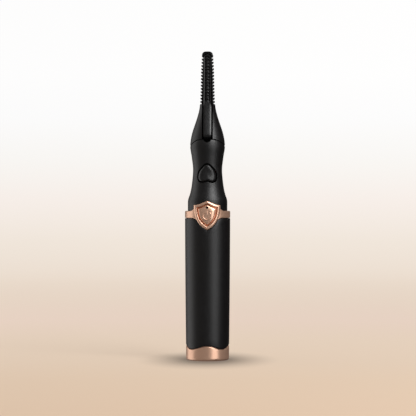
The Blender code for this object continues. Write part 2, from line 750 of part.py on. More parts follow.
def screw(name, z, seat_y, head_height, length, inward):
    """A pan-head screw along Y: its head stands outside seat_y, and its shank points inward."""
    head_y = sorted((seat_y, seat_y - inward * head_height))
    made = prism(name, circle((0, z), 1.5, 16), "Y", *head_y, "steel")
    shank_y = sorted((seat_y - inward * 0.2, seat_y + inward * length))
    add(made, prism(name + "_shank", circle((0, z), 0.72, 12), "Y", *shank_y, "steel"))
    slot_y = sorted((seat_y - inward * (head_height + 0.1), seat_y - inward * (head_height - 0.35)))
    return cut(made, box(name + "_slot", (-1.1, 1.1), slot_y, (z - 0.15, z + 0.15), "steel"))


def make_power_switch():
    front = BOARD_FRONT_Y - 1.7
    height = (SWITCH_Z - 2.25, SWITCH_Z + 2.25)
    switch = box("tact_switch_body", (-2.25, 2.25), (front, BOARD_FRONT_Y - 0.1), height, "steel")
    bore = circle((0, SWITCH_Z), 1.35, 16)
    cut(switch, prism("plunger_bore", bore, "Y", front - 1, front + 1.1, "steel"))
    plunger = circle((0, SWITCH_Z), 1.15, 16)
    prism("tact_switch_plunger", plunger, "Y", -8.3, front + 0.5, "chip_black")


def make_usb_socket():
    outer = stadium((0, USB_Y), USB_WIDTH, USB_THICKNESS)
    socket = prism("usb_socket_shell", outer, "Z", 0.5, USB_TOP_Z, "steel")
    inner = stadium((0, USB_Y), USB_WIDTH - 0.6, USB_THICKNESS - 0.6)
    cut(socket, prism("usb_cavity", inner, "Z", 0, USB_TOP_Z - 0.4, "steel"))
    base = stadium((0, USB_Y), USB_WIDTH - 0.9, USB_THICKNESS - 0.9)
    tongue = prism("usb_socket_tongue", base, "Z", 6.2, USB_TOP_Z - 0.6, "chip_black")
    add(tongue, box("usb_tongue_plate", (-3.3, 3.3), (USB_Y - 0.35, USB_Y + 0.35), (1.3, 6.6), "steel"))


def make_wires():
    strip_y = PLATE_FRONT_Y + 1.3
    for name, side, surface in (("left", -1, "wire_black"), ("right", 1, "wire_red")):
        heater = [(2.4, -3.9, 76.0), (3.4, -1.5, 79.5), (4.0, 0.8, 84.0), (3.9, 0.9, 92.0)]
        heater += [(3.5, 0.5, 100.0), (1.9, 0.4, 106.5), (0.6, strip_y, 110.5)]
        heater.append((0.5, strip_y, STEM_BOTTOM_Z - 0.85))
        wire(f"heater_wire_{name}", [(side * x, y, z) for x, y, z in heater], 0.35, surface)
        sensor = [(1.0, -3.9, 77.5), (1.9, 0.0, 80.5), (3.4, 2.9, 85.0), (3.5, 3.1, 92.0)]
        sensor += [(2.9, 3.2, 100.0), (1.3, 2.4, 107.0), (0.4, 1.4, 112.5), (0.35, 1.35, 118.05)]
        wire(f"sensor_wire_{name}", [(side * x, y, z) for x, y, z in sensor], 0.22, "wire_white")


def build():
    for old in list(bpy.data.objects):
        bpy.data.objects.remove(old)
    make_foot_cap()
    make_barrel()
    make_shield_ring()
    make_power_button()
    make_status_light()
    make_neck_front_shell()
    make_neck_back_shell()
    make_clamp_button()
    make_nose_cone()
    make_comb_head()
    make_heater()
    make_clamp_arm()
    make_clamp_parts()
    make_inner_frame()
    make_battery()
    make_board()
    screw("neck_screw", NECK_SCREW_Z, 8.4, 0.75, 4.5, -1)
    make_power_switch()
    make_usb_socket()
    make_wires()


build()
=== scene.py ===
"""The looks of a rechargeable heated eyelash curler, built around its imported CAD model.

Z is up and the front faces -Y. Shapes are in millimetres, and mesh_piece turns them into metres.
"""

import json
import math

import bmesh
import bpy
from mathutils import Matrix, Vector


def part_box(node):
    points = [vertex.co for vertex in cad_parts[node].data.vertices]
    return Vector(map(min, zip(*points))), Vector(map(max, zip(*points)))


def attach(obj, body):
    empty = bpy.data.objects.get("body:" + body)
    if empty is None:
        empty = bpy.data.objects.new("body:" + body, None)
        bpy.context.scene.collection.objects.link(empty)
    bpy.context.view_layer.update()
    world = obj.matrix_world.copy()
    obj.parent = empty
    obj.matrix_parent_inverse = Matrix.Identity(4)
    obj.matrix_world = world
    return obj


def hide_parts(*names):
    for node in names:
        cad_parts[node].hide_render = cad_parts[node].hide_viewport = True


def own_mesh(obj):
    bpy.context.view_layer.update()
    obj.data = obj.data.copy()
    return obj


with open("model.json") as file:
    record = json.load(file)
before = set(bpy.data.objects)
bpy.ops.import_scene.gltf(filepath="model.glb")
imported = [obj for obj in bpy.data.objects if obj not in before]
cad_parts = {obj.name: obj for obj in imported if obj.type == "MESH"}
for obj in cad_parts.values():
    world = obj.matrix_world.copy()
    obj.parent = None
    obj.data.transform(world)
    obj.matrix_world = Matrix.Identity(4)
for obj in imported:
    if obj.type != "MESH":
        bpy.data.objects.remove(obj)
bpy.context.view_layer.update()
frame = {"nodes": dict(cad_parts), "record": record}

MM = 0.001


def span(node):
    """A CAD node's lowest and highest corners, in millimetres."""
    return [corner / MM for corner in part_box(node)]


# Sizes that the frame gives.
FOOT_RADIUS = span("foot_cap")[1].x
RING_RADIUS = span("barrel")[1].x
BARREL_TOP_Z = span("barrel")[1].z
PANEL_REACH = -span("power_button")[0].y
LIGHT_Z = (span("status_light_lens")[0].z + span("status_light_lens")[1].z) / 2
HEIGHT = span("comb_head")[1].z
COMB_BACK_Y = span("comb_head")[1].y
NOSE_TOP_Z = span("nose_cone")[1].z
ARM_TOP_Z = span("clamp_arm")[1].z
ARM_BOTTOM_Z = span("clamp_arm")[0].z
PAD_LOW, PAD_HIGH = span("clamp_pad")
PLATE_LOW, PLATE_HIGH = span("heat_plate")
PIN_CENTRE = (span("hinge_pin")[0] + span("hinge_pin")[1]) / 2
PIN_RADIUS = (span("hinge_pin")[1].z - span("hinge_pin")[0].z) / 2
SPRING_LOW, SPRING_HIGH = span("clamp_spring")

# Handle.
BARREL_WALL = 1.5
FOOT_CORNER = 1.2
FOOT_BORE = 7.95
FOOT_FLOOR_Z = 1.6
FOOT_EDGE_Z = 6.3
FOOT_EDGE_WAVE = 0.83
RING_LOW_Z = 69.15
RING_TOP_Z = 72.5
RING_BORE = 9.8
RING_LIP = 0.15
RING_JOINT = 0.2
SHIELD_JOINT = 0.28
NECK_BORE = 8.0
USB_Y = -5.0
USB_WIDTH = 9.4
USB_THICKNESS = 3.6

# Neck, nose and comb: outer radius, or half width, at each height.
NECK_STATIONS = (
    (68.0, 9.6), (76.5, 9.6), (78.2, 9.42), (80.7, 8.57), (84.6, 7.76), (92.4, 7.06), (98.3, 7.67),
    (104.1, 8.45), (109.9, 7.62), (117.7, 5.09), (121.6, 4.07), (124.5, 3.65),
)
COMB_TIP_STATIONS = ((124.0, 3.58), (134.0, 3.30), (140.0, 3.16), (147.0, 2.80), (150.0, 2.65))
NECK_WALL = 1.4
NOSE_WALL = 1.2
NECK_SPIGOT = 9.3
NECK_FOOT_Z = 60.0
NOSE_BORE = 2.85
NOSE_LIP_Z = 103.3
SEAM_Z = 107.1
SEAM_DROP = 3.0
SEAM_GAP = 0.22
SLOT_HALF = 2.525
NOTCH_RISE = 0.6
NOTCH_RADIUS = 2.1

# Shield: side outlines (height, half width) from the tip up to the corner, and the height of the top point.
SHIELD_SIDE = (
    (63.3, 0.0), (63.95, 1.2), (64.9, 2.5), (66.2, 3.8), (68.2, 5.1), (70.5, 5.95), (73.6, 6.45),
    (75.3, 6.4),
)
OPENING_SIDE = ((65.0, 0.0), (65.6, 1.0), (66.6, 2.2), (68.2, 3.5), (70.4, 4.4), (72.8, 4.9), (74.2, 5.0))
PANEL_SIDE = (
    (65.75, 0.0), (66.3, 0.95), (67.2, 1.95), (68.6, 3.05), (70.6, 3.85), (72.6, 4.35), (73.6, 4.45),
)
SHIELD_APEX_Z = 77.3
OPENING_APEX_Z = 76.0
PANEL_APEX_Z = 75.35
PANEL_CENTRE_Z = 70.4
PANEL_SINK = 0.3
PANEL_SIDE_FALL = 0.95
PANEL_RIM_FALL = 0.45
SKIRT_RADIUS = 10.42
SKIRT_BACK_RADIUS = 10.2
SKIRT_GAP = 0.1
LIGHT_HOLE_RADIUS = 0.54
LENS_RADIUS = 0.42
MARK_RADIUS = 1.95
MARK_BAR_RADIUS = 0.27

# Clamp button. The terms are those of its outline's reach, a cosine series from the point at the top.
HEART_Z = 90.6
HEART_TERMS = (4.16, -0.36, -0.09, 0.56, -0.16, 0.17)
HEART_PROUD = 0.55
HEART_GAP = 0.4
HEART_LEAST = 2.6

# Clamp arm and comb.
ARM_HALF = 1.95
ARM_TIP_HALF = 1.75
ARM_PROUD = 0.15
ARM_THICKNESS = 1.6
RAIL_WIDTH = 0.75
RUNG_PITCH = 1.588
RUNG_COUNT = 14
FIRST_RUNG_Z = 125.5
TOOTH_COUNT = 15
FIRST_TOOTH_Z = 124.5
TOOTH_LENGTH = 0.72
COMB_BASE_Z = 124.7
COMB_FRONT_Y = -1.9
COMB_WALL = 0.65
CHANNEL_FLOOR_Y = 1.1
COMB_END_Z = 148.8
CAP_LOW_Z = 147.2
CAP_SIDE_Z = 148.0
CAP_HALF = 2.64
CAP_FRONT_Y = -3.5
ARCH_HALF = 2.12
ARCH_RISE = 1.75
STEM_BOTTOM_Z = 113.0
STEM_HALF = 1.95


# Curves.


def smooth_value(stations, place):
    """The value at a place on a smooth curve through the stations."""
    last = len(stations) - 1
    index = 0
    while index < last - 1 and place > stations[index + 1][0]:
        index += 1
    (p0, v0), (p1, v1) = stations[index], stations[index + 1]
    slope0 = station_slope(stations, index)
    slope1 = station_slope(stations, index + 1)
    t = min(max((place - p0) / (p1 - p0), 0.0), 1.0)
    rise = (p1 - p0) * ((t**3 - 2 * t**2 + t) * slope0 + (t**3 - t**2) * slope1)
    return v0 * (2 * t**3 - 3 * t**2 + 1) + v1 * (3 * t**2 - 2 * t**3) + rise


def station_slope(stations, index):
    before = stations[max(index - 1, 0)]
    after = stations[min(index + 1, len(stations) - 1)]
    return (after[1] - before[1]) / (after[0] - before[0])


def between(low, high, count):
    """count + 1 values from low to high."""
    return [low + (high - low) * i / count for i in range(count + 1)]


def share(value, low, high):
    """How far a value is on its way from low to high, from 0 to 1."""
    return min(max((value - low) / (high - low), 0.0), 1.0)


def neck_radius(z):
    return smooth_value(NECK_STATIONS, z)


def comb_half_width(z):
    return smooth_value(COMB_TIP_STATIONS, z)


def root_half_width(z):
    return comb_half_width(z) - TOOTH_LENGTH


def barrel_radius(z):
    below_top = BARREL_TOP_Z - z
    return RING_RADIUS - 0.0042 * below_top - 0.000064 * below_top**2


def foot_edge(angle):
    return FOOT_EDGE_Z + FOOT_EDGE_WAVE * math.cos(4 * angle)


def seam_height(angle):
    return SEAM_Z - SEAM_DROP * abs(math.cos(angle)) ** 3.3


def ring_bottom(x):
    """The ring dips a little where it meets the shield."""
    return RING_LOW_Z - share(7.6 - x, 0, 2.4) ** 2


def ring_top(x):
    return RING_TOP_Z + 1.2 * share(8.7 - x, 0, 2.3) ** 2


def barrel_top(angle):
    """The barrel's top edge follows the ring and, at the front, the lower half of the shield."""
    x = abs(RING_RADIUS * math.cos(angle))
    if math.sin(angle) > 0:
        return RING_LOW_Z - RING_JOINT
    edge = tuple((across, z) for z, across in SHIELD_SIDE[:6])
    if x > edge[-1][0]:
        return ring_bottom(x) - RING_JOINT
    return min(ring_bottom(x) - RING_JOINT, smooth_value(edge, x) - SHIELD_JOINT)


# Mesh tools.


def placed(name, data):
    """A new object in the scene."""
    made = bpy.data.objects.new(name, data)
    bpy.context.scene.collection.objects.link(made)
    return made


def mesh_piece(name, points, faces):
    """An object from points in millimetres, its normals outward."""
    shape = bmesh.new()
    corners = [shape.verts.new(Vector(p) * MM) for p in points]
    for face in faces:
        shape.faces.new([corners[i] for i in face])
    bmesh.ops.recalc_face_normals(shape, faces=shape.faces)
    mesh = bpy.data.meshes.new(name)
    shape.to_mesh(mesh)
    shape.free()
    return placed(name, mesh)


def loft(name, rings, closed=False, tips=(None, None)):
    """A surface through rings of points. An end is closed by a flat face, or by a fan to its tip."""
    count = len(rings[0])
    points = [point for ring in rings for point in ring]
    faces = []
    levels = len(rings) if closed else len(rings) - 1
    for level in range(levels):
        here, there = level * count, (level + 1) % len(rings) * count
        for i in range(count):
            j = (i + 1) % count
            faces.append((here + i, here + j, there + j, there + i))
    if not closed:
        for start, tip in ((0, tips[0]), (len(points) - count, tips[1])):
            ends = list(range(start, start + count))
            if tip is None:
                faces.append(tuple(ends))
                continue
            points.append(tip)
            faces += [(a, b, len(points) - 1) for a, b in zip(ends, ends[1:] + ends[:1])]
    return mesh_piece(name, points, faces)


def turned(name, profile, segments, arc=(0, 360)):
    """A closed profile of (radius, height), a function of the angle from +X, swept about Z."""
    whole = arc[1] - arc[0] == 360
    angles = [math.radians(a) for a in between(*arc, segments)]
    rings = []
    for angle in angles[:-1] if whole else angles:
        rings.append([(r * math.cos(angle), r * math.sin(angle), z) for r, z in profile(angle)])
    return loft(name, rings, closed=whole)


def turned_solid(name, profile, segments):
    """A profile of (radius, height), from the bottom centre to the top centre, swept about Z."""
    heights = (profile(0)[0][1], profile(0)[-1][1])
    columns = []
    for i in range(segments):
        angle = 2 * math.pi * i / segments
        columns.append([(r * math.cos(angle), r * math.sin(angle), z) for r, z in profile(angle)[1:-1]])
    rings = [list(ring) for ring in zip(*columns)]
    return loft(name, rings, tips=((0, 0, heights[0]), (0, 0, heights[1])))


def prism(name, outline, axis, low, high):
    """A flat outline drawn out along an axis, from low to high."""
    place = "XYZ".index(axis)
    rings = [[(*point[:place], level, *point[place:]) for point in outline] for level in (low, high)]
    return loft(name, rings)


def plug(name, centre_z, steps, count=32):
    """A round shape about a line along Y at the height, from steps of (y, radius)."""
    return loft(name, [[(x, y, z) for x, z in circle((0, centre_z), radius, count)] for y, radius in steps])


def mirrored(half_ring):
    """The half ring and its mirror image, as one ring."""
    return half_ring + [(-x, y) for x, y in reversed(half_ring)]


def rectangle(left, right, low, high):
    return [(left, low), (right, low), (right, high), (left, high)]


def circle(centre, radius, count=32):
    turns = [2 * math.pi * (i + 0.5) / count for i in range(count)]
    return [(centre[0] + radius * math.cos(t), centre[1] + radius * math.sin(t)) for t in turns]


def stadium(centre, width, height, count=12):
    """A slot shape with round ends, wide along its first axis."""
    straight = (width - height) / 2
    points = []
    for side in (1, -1):
        for turn in between(-math.pi / 2, math.pi / 2, count):
            x = side * (straight + math.cos(turn) * height / 2)
            points.append((centre[0] + x, centre[1] + side * math.sin(turn) * height / 2))
    return points


def rounded_bar(half_width, front, back, radius):
    """A rectangle in plan with round corners, from the back right corner round to the front right."""
    steps, corners = 4, ((1, 1), (-1, 1), (-1, -1), (1, -1))
    ring = []
    for quarter, (side, end) in enumerate(corners):
        centre_x = side * (half_width - radius)
        centre_y = back - radius if end > 0 else front + radius
        for i in range(steps + 1):
            turn = math.pi / 2 * (quarter + i / steps)
            ring.append((centre_x + radius * math.cos(turn), centre_y + radius * math.sin(turn)))
    return ring


def carve(target, cutter):
    """Cuts the cutter out of the target, and removes the cutter."""
    step = target.modifiers.new("Carve", "BOOLEAN")
    step.operation = "DIFFERENCE"
    step.solver = "EXACT"
    step.object = cutter
    graph = bpy.context.evaluated_depsgraph_get()
    shaped = bpy.data.meshes.new_from_object(target.evaluated_get(graph))
    target.modifiers.clear()
    target.data = shaped
    bpy.data.objects.remove(cutter)


def tube(name, path, radius, sides):
    """A round bar along a path, as a mesh."""
    curve = bpy.data.curves.new(name, "CURVE")
    curve.dimensions = "3D"
    curve.bevel_depth = radius * MM
    curve.bevel_resolution = sides
    curve.use_fill_caps = True
    spline = curve.splines.new("POLY")
    spline.points.add(len(path) - 1)
    for point, place in zip(spline.points, path):
        point.co = (*(Vector(place) * MM), 1.0)
    guide = placed(name + "_guide", curve)
    graph = bpy.context.evaluated_depsgraph_get()
    mesh = bpy.data.meshes.new_from_object(guide.evaluated_get(graph))
    bpy.data.objects.remove(guide)
    return placed(name, mesh)


def joined(name, pieces):
    """One object from several closed shapes."""
    shape = bmesh.new()
    for part in pieces:
        shape.from_mesh(part.data)
        bpy.data.objects.remove(part)
    mesh = bpy.data.meshes.new(name)
    shape.to_mesh(mesh)
    shape.free()
    return placed(name, mesh)


def dress(made, slot, body, *nodes, surface=None, sharp=38):
    """Gives a finished piece its material and its body, and hides the CAD nodes that it stands for."""
    made.data.materials.clear()
    made.data.materials.append(SURFACES[surface or slot])
    made.data.shade_smooth()
    made.data.set_sharp_from_angle(angle=math.radians(sharp))
    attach(made, body)
    if nodes:
        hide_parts(*nodes)


# Materials. Scales are per metre and depths are in metres, at the object's real size.


def linear(red, green, blue):
    """A screen colour from 0 to 255 as the linear colour that shaders take."""
    channels = []
    for level in (red, green, blue):
        part = level / 255
        channels.append(part / 12.92 if part <= 0.04045 else ((part + 0.055) / 1.055) ** 2.4)
    return (*channels, 1.0)


class Nodes:
    """Short calls for building one material's nodes."""

    def __init__(self, name):
        self.material = bpy.data.materials.new(name)
        self.material.use_nodes = True
        self.tree = self.material.node_tree
        self.shader = self.tree.nodes["Principled BSDF"]
        self.places = self.tree.nodes.new("ShaderNodeTexCoord").outputs["Object"]

    def feed(self, socket, value):
        """Links an output to the socket, or sets its value. A colour may come without its alpha."""
        if isinstance(value, bpy.types.NodeSocket):
            self.tree.links.new(value, socket)
        elif socket.type == "RGBA":
            socket.default_value = (*value[:3], 1.0)
        else:
            socket.default_value = value

    def add(self, kind, values=None, **settings):
        node = self.tree.nodes.new("ShaderNode" + kind)
        for key, value in settings.items():
            setattr(node, key, value)
        for key, value in (values or {}).items():
            self.feed(node.inputs[key], value)
        return node

    def stretched(self, stretch):
        return self.add("Mapping", {"Vector": self.places, "Scale": stretch}).outputs[0]

    def noise(self, scale, detail=3.0, roughness=0.5, stretch=(1, 1, 1)):
        values = {"Vector": self.stretched(stretch), "Scale": scale, "Detail": detail, "Roughness": roughness}
        return self.add("TexNoise", values).outputs["Fac"]

    def ranged(self, value, source, target):
        keys = ("Value", "From Min", "From Max", "To Min", "To Max")
        values = dict(zip(keys, (value, *source, *target)))
        return self.add("MapRange", values).outputs[0]

    def mixed(self, factor, first, second):
        values = {0: factor, 6: first, 7: second}
        return self.add("Mix", values, data_type="RGBA").outputs[2]

    def bump(self, height, depth, under=None):
        values = {"Height": height, "Distance": depth, "Strength": 1.0}
        if under is not None:
            values["Normal"] = under
        return self.add("Bump", values).outputs[0]

    def rubbed_and_highlit_edges(self, high, most):
        """Where the surface is sharp and juts out, up to the most at the high pointiness: rubbed edges, and
        on the rose gold a painted highlight too.
        """
        edges = self.add("NewGeometry").outputs["Pointiness"]
        return self.ranged(edges, (0.53, high), (0, most))

    def finish(self, colour, roughness, more):
        """Feeds the shader's inputs and gives the finished material."""
        for key, value in {"Base Color": colour, "Roughness": roughness, **more}.items():
            self.feed(self.shader.inputs[key], value)
        return self.material


def moulded(name, dark, light, rough, grain, depth, edge=None, specular=0.5):
    """Moulded plastic or rubber: cloudy tone, uneven gloss, a fine grain and, if asked, rubbed edges."""
    nodes = Nodes(name)
    tone = nodes.mixed(nodes.ranged(nodes.noise(260), (0.3, 0.7), (0, 1)), dark, light)
    gloss = nodes.ranged(nodes.noise(900, 4), (0.3, 0.7), rough)
    if edge:
        broken = nodes.ranged(nodes.noise(1500, 4), (0.35, 0.65), (0, 0.8))
        values = {0: nodes.rubbed_and_highlit_edges(0.62, 1), 1: broken}
        worn = nodes.add("Math", values, operation="MULTIPLY").outputs[0]
        tone = nodes.mixed(worn, tone, edge)
    relief = nodes.bump(nodes.noise(grain, 2), depth)
    relief = nodes.bump(nodes.noise(grain * 3.1, 1), depth * 0.4, relief)
    return nodes.finish(tone, gloss, {"Normal": relief, "Specular IOR Level": specular})


def brushed(name, dark, light, rough, stretch, depth, edge=None, metallic=1.0):
    """Metal with fine lines along one direction, a faint cloudiness and brighter edges: rubbed wear, with a
    painted highlight in their lighter tone.
    """
    nodes = Nodes(name)
    lines = nodes.noise(700, 5, 0.65, stretch)
    tone = nodes.mixed(nodes.ranged(lines, (0.3, 0.7), (0, 1)), dark, light)
    if edge:
        # Pointy edges take the lighter edge tone: rubbed wear and a painted highlight.
        tone = nodes.mixed(nodes.rubbed_and_highlit_edges(0.6, 0.7), tone, edge)
    smears = nodes.noise(240, 3)
    both = nodes.add("Math", {0: lines, 1: smears}, operation="ADD").outputs[0]
    gloss = nodes.ranged(both, (0.7, 1.3), rough)
    return nodes.finish(tone, gloss, {"Normal": nodes.bump(lines, depth), "Metallic": metallic})


def circuit_green():
    """Solder mask over copper tracks: square cells of track between bands of bare mask."""
    nodes = Nodes("circuit_mask")
    values = {"Vector": nodes.stretched((1, 1, 1.4)), "Scale": 620.0, "Randomness": 0.55}
    cells = nodes.add("TexVoronoi", values, distance="CHEBYCHEV", feature="F1").outputs["Distance"]
    tracks = nodes.ranged(cells, (0.34, 0.38), (0, 1))
    tone = nodes.mixed(tracks, (0.015, 0.13, 0.05), (0.035, 0.22, 0.09))
    gloss = nodes.ranged(nodes.noise(2000), (0.3, 0.7), (0.3, 0.45))
    return nodes.finish(tone, gloss, {"Normal": nodes.bump(tracks, 3e-5)})


def heating_film():
    """Amber film over a winding heating track."""
    nodes = Nodes("heating_film")
    values = {"Vector": nodes.places, "Scale": 500.0, "Distortion": 0.6}
    waves = nodes.add("TexWave", values, bands_direction="Z").outputs["Fac"]
    tracks = nodes.ranged(waves, (0.45, 0.55), (0, 1))
    tone = nodes.mixed(tracks, (0.42, 0.17, 0.03), (0.55, 0.30, 0.12))
    gloss = nodes.ranged(nodes.noise(1500), (0.3, 0.7), (0.25, 0.4))
    return nodes.finish(tone, gloss, {"Normal": nodes.bump(tracks, 2e-5)})


HOOPS = (6, 6, 90)
GRAIN_UP = (60, 60, 4)

# Slot: dark and light tone, range of roughness, size and depth of the grain and, for the pieces in full
# view, the tone of the rubbed edges and the specular level.
MOULDED = {
    "soft_touch_black": (
        (0.0020, 0.0018, 0.0021), (0.0038, 0.0035, 0.0040), (0.38, 0.46),
        5200, 3e-6, (0.012, 0.012, 0.0125), 0.56,
    ),
    "arm_black": (
        (0.003, 0.003, 0.0035), (0.006, 0.006, 0.0065), (0.32, 0.42),
        4200, 3e-6, (0.02, 0.02, 0.021), 0.6,
    ),
    "comb_black": (
        (0.0012, 0.0012, 0.0014), (0.0025, 0.0025, 0.0028), (0.30, 0.40),
        4600, 3e-6, (0.008, 0.008, 0.009), 0.3,
    ),
    "silicone_grey": ((0.075, 0.075, 0.083), (0.105, 0.105, 0.115), (0.52, 0.66), 2600, 6e-6),
    "frame_grey": ((0.26, 0.26, 0.27), (0.33, 0.33, 0.34), (0.5, 0.65), 3000, 6e-6),
    "battery_wrap": ((0.04, 0.10, 0.31), (0.06, 0.14, 0.39), (0.26, 0.40), 900, 8e-6),
    "chip_black": ((0.016, 0.016, 0.016), (0.026, 0.026, 0.026), (0.42, 0.58), 6000, 4e-6),
    # The status lens is near black: painted shade inside the light hole.
    "lens_white": ((0.003, 0.003, 0.003), (0.006, 0.005, 0.005), (0.10, 0.20), 700, 1e-6, None, 0.2),
    "led_epoxy": ((0.78, 0.80, 0.80), (0.86, 0.88, 0.88), (0.15, 0.28), 1200, 2e-6),
    "wire_red": ((0.42, 0.02, 0.02), (0.56, 0.03, 0.03), (0.42, 0.55), 2500, 4e-6),
    "wire_black": ((0.015, 0.015, 0.015), (0.026, 0.026, 0.026), (0.42, 0.55), 2500, 4e-6),
    "wire_white": ((0.66, 0.66, 0.62), (0.78, 0.78, 0.75), (0.42, 0.55), 2500, 4e-6),
}

# Slot: dark and light tone, range of roughness, stretch and depth of the lines and, for the plated pieces,
# the tone of the rubbed edges, which also paints a highlight on them, and how metallic they are.
BRUSHED = {
    "rose_gold": (
        (0.88, 0.52, 0.36), (0.94, 0.60, 0.43), (0.29, 0.37),
        # The edge tone is lighter and paler than the base: rubbed edges and a painted highlight.
        HOOPS, 6e-7, (0.94, 0.67, 0.52), 0.72,
    ),
    # A deeper copper copy of the rose gold: painted shade for the groove round the power panel.
    "rose_gold_groove_shade": ((0.50, 0.17, 0.085), (0.60, 0.23, 0.12), (0.30, 0.40), HOOPS, 6e-7, None, 0.64),
    "steel": ((0.52, 0.52, 0.54), (0.66, 0.66, 0.68), (0.24, 0.38), GRAIN_UP, 8e-7),
    "aluminium": ((0.68, 0.68, 0.70), (0.80, 0.80, 0.82), (0.28, 0.42), GRAIN_UP, 1e-6),
    "nickel": ((0.58, 0.56, 0.50), (0.70, 0.68, 0.62), (0.22, 0.36), GRAIN_UP, 8e-7),
}


def make_surfaces():
    """Every material by its slot."""
    surfaces = {"heater_film": heating_film(), "board_green": circuit_green()}
    surfaces |= {slot: moulded(slot, *values) for slot, values in MOULDED.items()}
    surfaces |= {slot: brushed(slot, *values) for slot, values in BRUSHED.items()}
    return surfaces


# Handle.


def barrel_profile(angle):
    """Round lips at both rims; the upper rim follows the ring and the shield."""
    low = foot_edge(angle) + 0.25
    high = barrel_top(angle)
    outside = [(barrel_radius(low) - 0.9, low + 0.05), (barrel_radius(low) - 0.6, low)]
    for inset, rise in ((0.42, 0.02), (0.26, 0.09), (0.12, 0.22), (0.04, 0.4)):
        outside.append((barrel_radius(low) - inset, low + rise))
    outside += [(barrel_radius(z), z) for z in between(low + 0.65, high - 0.3, 22)]
    for inset, drop in ((0.03, 0.18), (0.1, 0.08), (0.2, 0.02), (0.34, 0.0)):
        outside.append((barrel_radius(high) - inset, high - drop))
    inner = [(barrel_radius(z) - BARREL_WALL, z) for z in between(high, low + 0.05, 4)]
    return outside + inner


def make_barrel():
    dress(turned("barrel_shell", barrel_profile, 288), "soft_touch_black", "handle", "barrel")


def foot_profile(angle):
    """Flat base with two fine grooves, a round corner, a wavy bevelled edge and a spigot."""
    edge = foot_edge(angle)
    corner = FOOT_RADIUS - FOOT_CORNER
    points = [(0, 0), (1.0, 0), (7.9, 0)]
    for start in (8.05, 8.55):
        points += [(start, 0), (start + 0.06, 0.14), (start + 0.2, 0.14), (start + 0.26, 0)]
    for turn in between(0, math.pi / 2, 10):
        points.append((corner + FOOT_CORNER * math.sin(turn), FOOT_CORNER * (1 - math.cos(turn))))
    points += [(FOOT_RADIUS, z) for z in between(FOOT_CORNER + 0.4, edge - 0.5, 6)]
    for turn in between(0.2, math.pi / 2, 5):
        points.append((FOOT_RADIUS - 0.4 * (1 - math.cos(turn)), edge - 0.4 + 0.4 * math.sin(turn)))
    spigot = barrel_radius(0) - BARREL_WALL - 0.25
    points += [(FOOT_RADIUS - 0.9, edge), (spigot, edge), (spigot, 10.8), (spigot - 0.2, 11.0)]
    points += [(FOOT_BORE, 11.0), (FOOT_BORE, 1.9), (FOOT_BORE - 0.3, FOOT_FLOOR_Z)]
    return points + [(0.5, FOOT_FLOOR_Z), (0, FOOT_FLOOR_Z)]


def make_foot_cap():
    cap = turned_solid("foot_cap_shell", foot_profile, 288)
    widths = ((-1.0, 1.0), (-0.02, 0.5), (0.12, 0.28), (0.35, 0.06), (0.6, 0.0), (3.0, 0.0))
    rings = []
    for z, margin in widths:
        outline = stadium((0, USB_Y), USB_WIDTH + margin, USB_THICKNESS + margin)
        rings.append([(x, y, z) for x, y in outline])
    carve(cap, loft("usb_slot", rings))
    dress(cap, "rose_gold", "handle", "foot_cap", sharp=32)


def band_profile(angle):
    """The ring's band, with a lip below that keeps light out of the joint over the barrel."""
    x = abs(RING_RADIUS * math.cos(angle)) if math.sin(angle) < 0 else RING_RADIUS
    low, high = ring_bottom(x), ring_top(x)
    lip = low - RING_LIP
    points = [(RING_BORE, low), (9.95, low), (10.0, lip), (10.4, lip), (10.45, low), (RING_RADIUS - 0.5, low)]
    for turn in between(0, math.pi / 2, 3):
        points.append((RING_RADIUS - 0.18 * (1 - math.sin(turn)), low + 0.18 * (1 - math.cos(turn))))
    points += [(RING_RADIUS, z) for z in between(low + 0.5, high - 0.75, 4)]
    for turn in between(0, math.pi / 2, 7):
        points.append((RING_RADIUS - 0.5 * (1 - math.cos(turn)), high - 0.5 + 0.5 * math.sin(turn)))
    return points + [(RING_BORE, high)]


def shield_outline(apex, side):
    """A whole outline, from the top point round by the right corner and the tip."""
    top_steps, side_steps = 30, 60
    tip_z, (corner_z, corner_x) = side[0][0], side[-1]
    half = []
    for i in range(top_steps):
        u = i / top_steps
        half.append((corner_x * u, apex - (apex - corner_z) * math.sin(math.pi * u / 2) ** 1.15))
    for i in range(side_steps + 1):
        z = corner_z + (tip_z - corner_z) * math.sin(math.pi / 2 * i / side_steps)
        half.append((smooth_value(side, z), z))
    return half + [(-x, z) for x, z in reversed(half[1:-1])]


def wrapped(outline, radius):
    """A flat outline laid on a cylinder about the handle's axis."""
    return [(x, -math.sqrt(radius**2 - x**2), z) for x, z in outline]


def blend(first, second, amount):
    """The outline that lies the amount, from 0 to 1, of the way from the first to the second."""
    rest = 1 - amount
    return [(rest * a[0] + amount * b[0], rest * a[1] + amount * b[1]) for a, b in zip(first, second)]


def make_shield():
    """The ring, and the shield frame that it carries: a raised rim round a sunk opening."""
    dress(turned("ring_band", band_profile, 240, (-63.2, 243.2)), "rose_gold", "handle", "shield_ring")
    outer = shield_outline(SHIELD_APEX_Z, SHIELD_SIDE)
    inner = shield_outline(OPENING_APEX_Z, OPENING_SIDE)
    # How far in from the outer outline, from 0 to 1, and the radius there.
    section = (
        (0.0, 9.85), (0.0, 10.9), (0.02, 11.03), (0.08, 11.12), (0.2, 11.2), (0.42, 11.31),
        (0.56, 11.34), (0.7, 11.34), (0.8, 11.3), (0.88, 11.22), (0.95, 11.08), (0.99, 10.92),
        (1.0, 10.75), (1.0, 9.85),
    )
    rings = [wrapped(blend(outer, inner, inward), radius) for inward, radius in section]
    dress(loft("shield_frame", rings, closed=True), "rose_gold", "handle")


def panel_front(x, scale):
    """The panel's front is nearly flat in the middle and falls away at its rim, most of all at the sides."""
    side = abs(x / PANEL_SIDE[-1][1])
    return PANEL_REACH - PANEL_SINK - PANEL_SIDE_FALL * side**4 - PANEL_RIM_FALL * scale**4


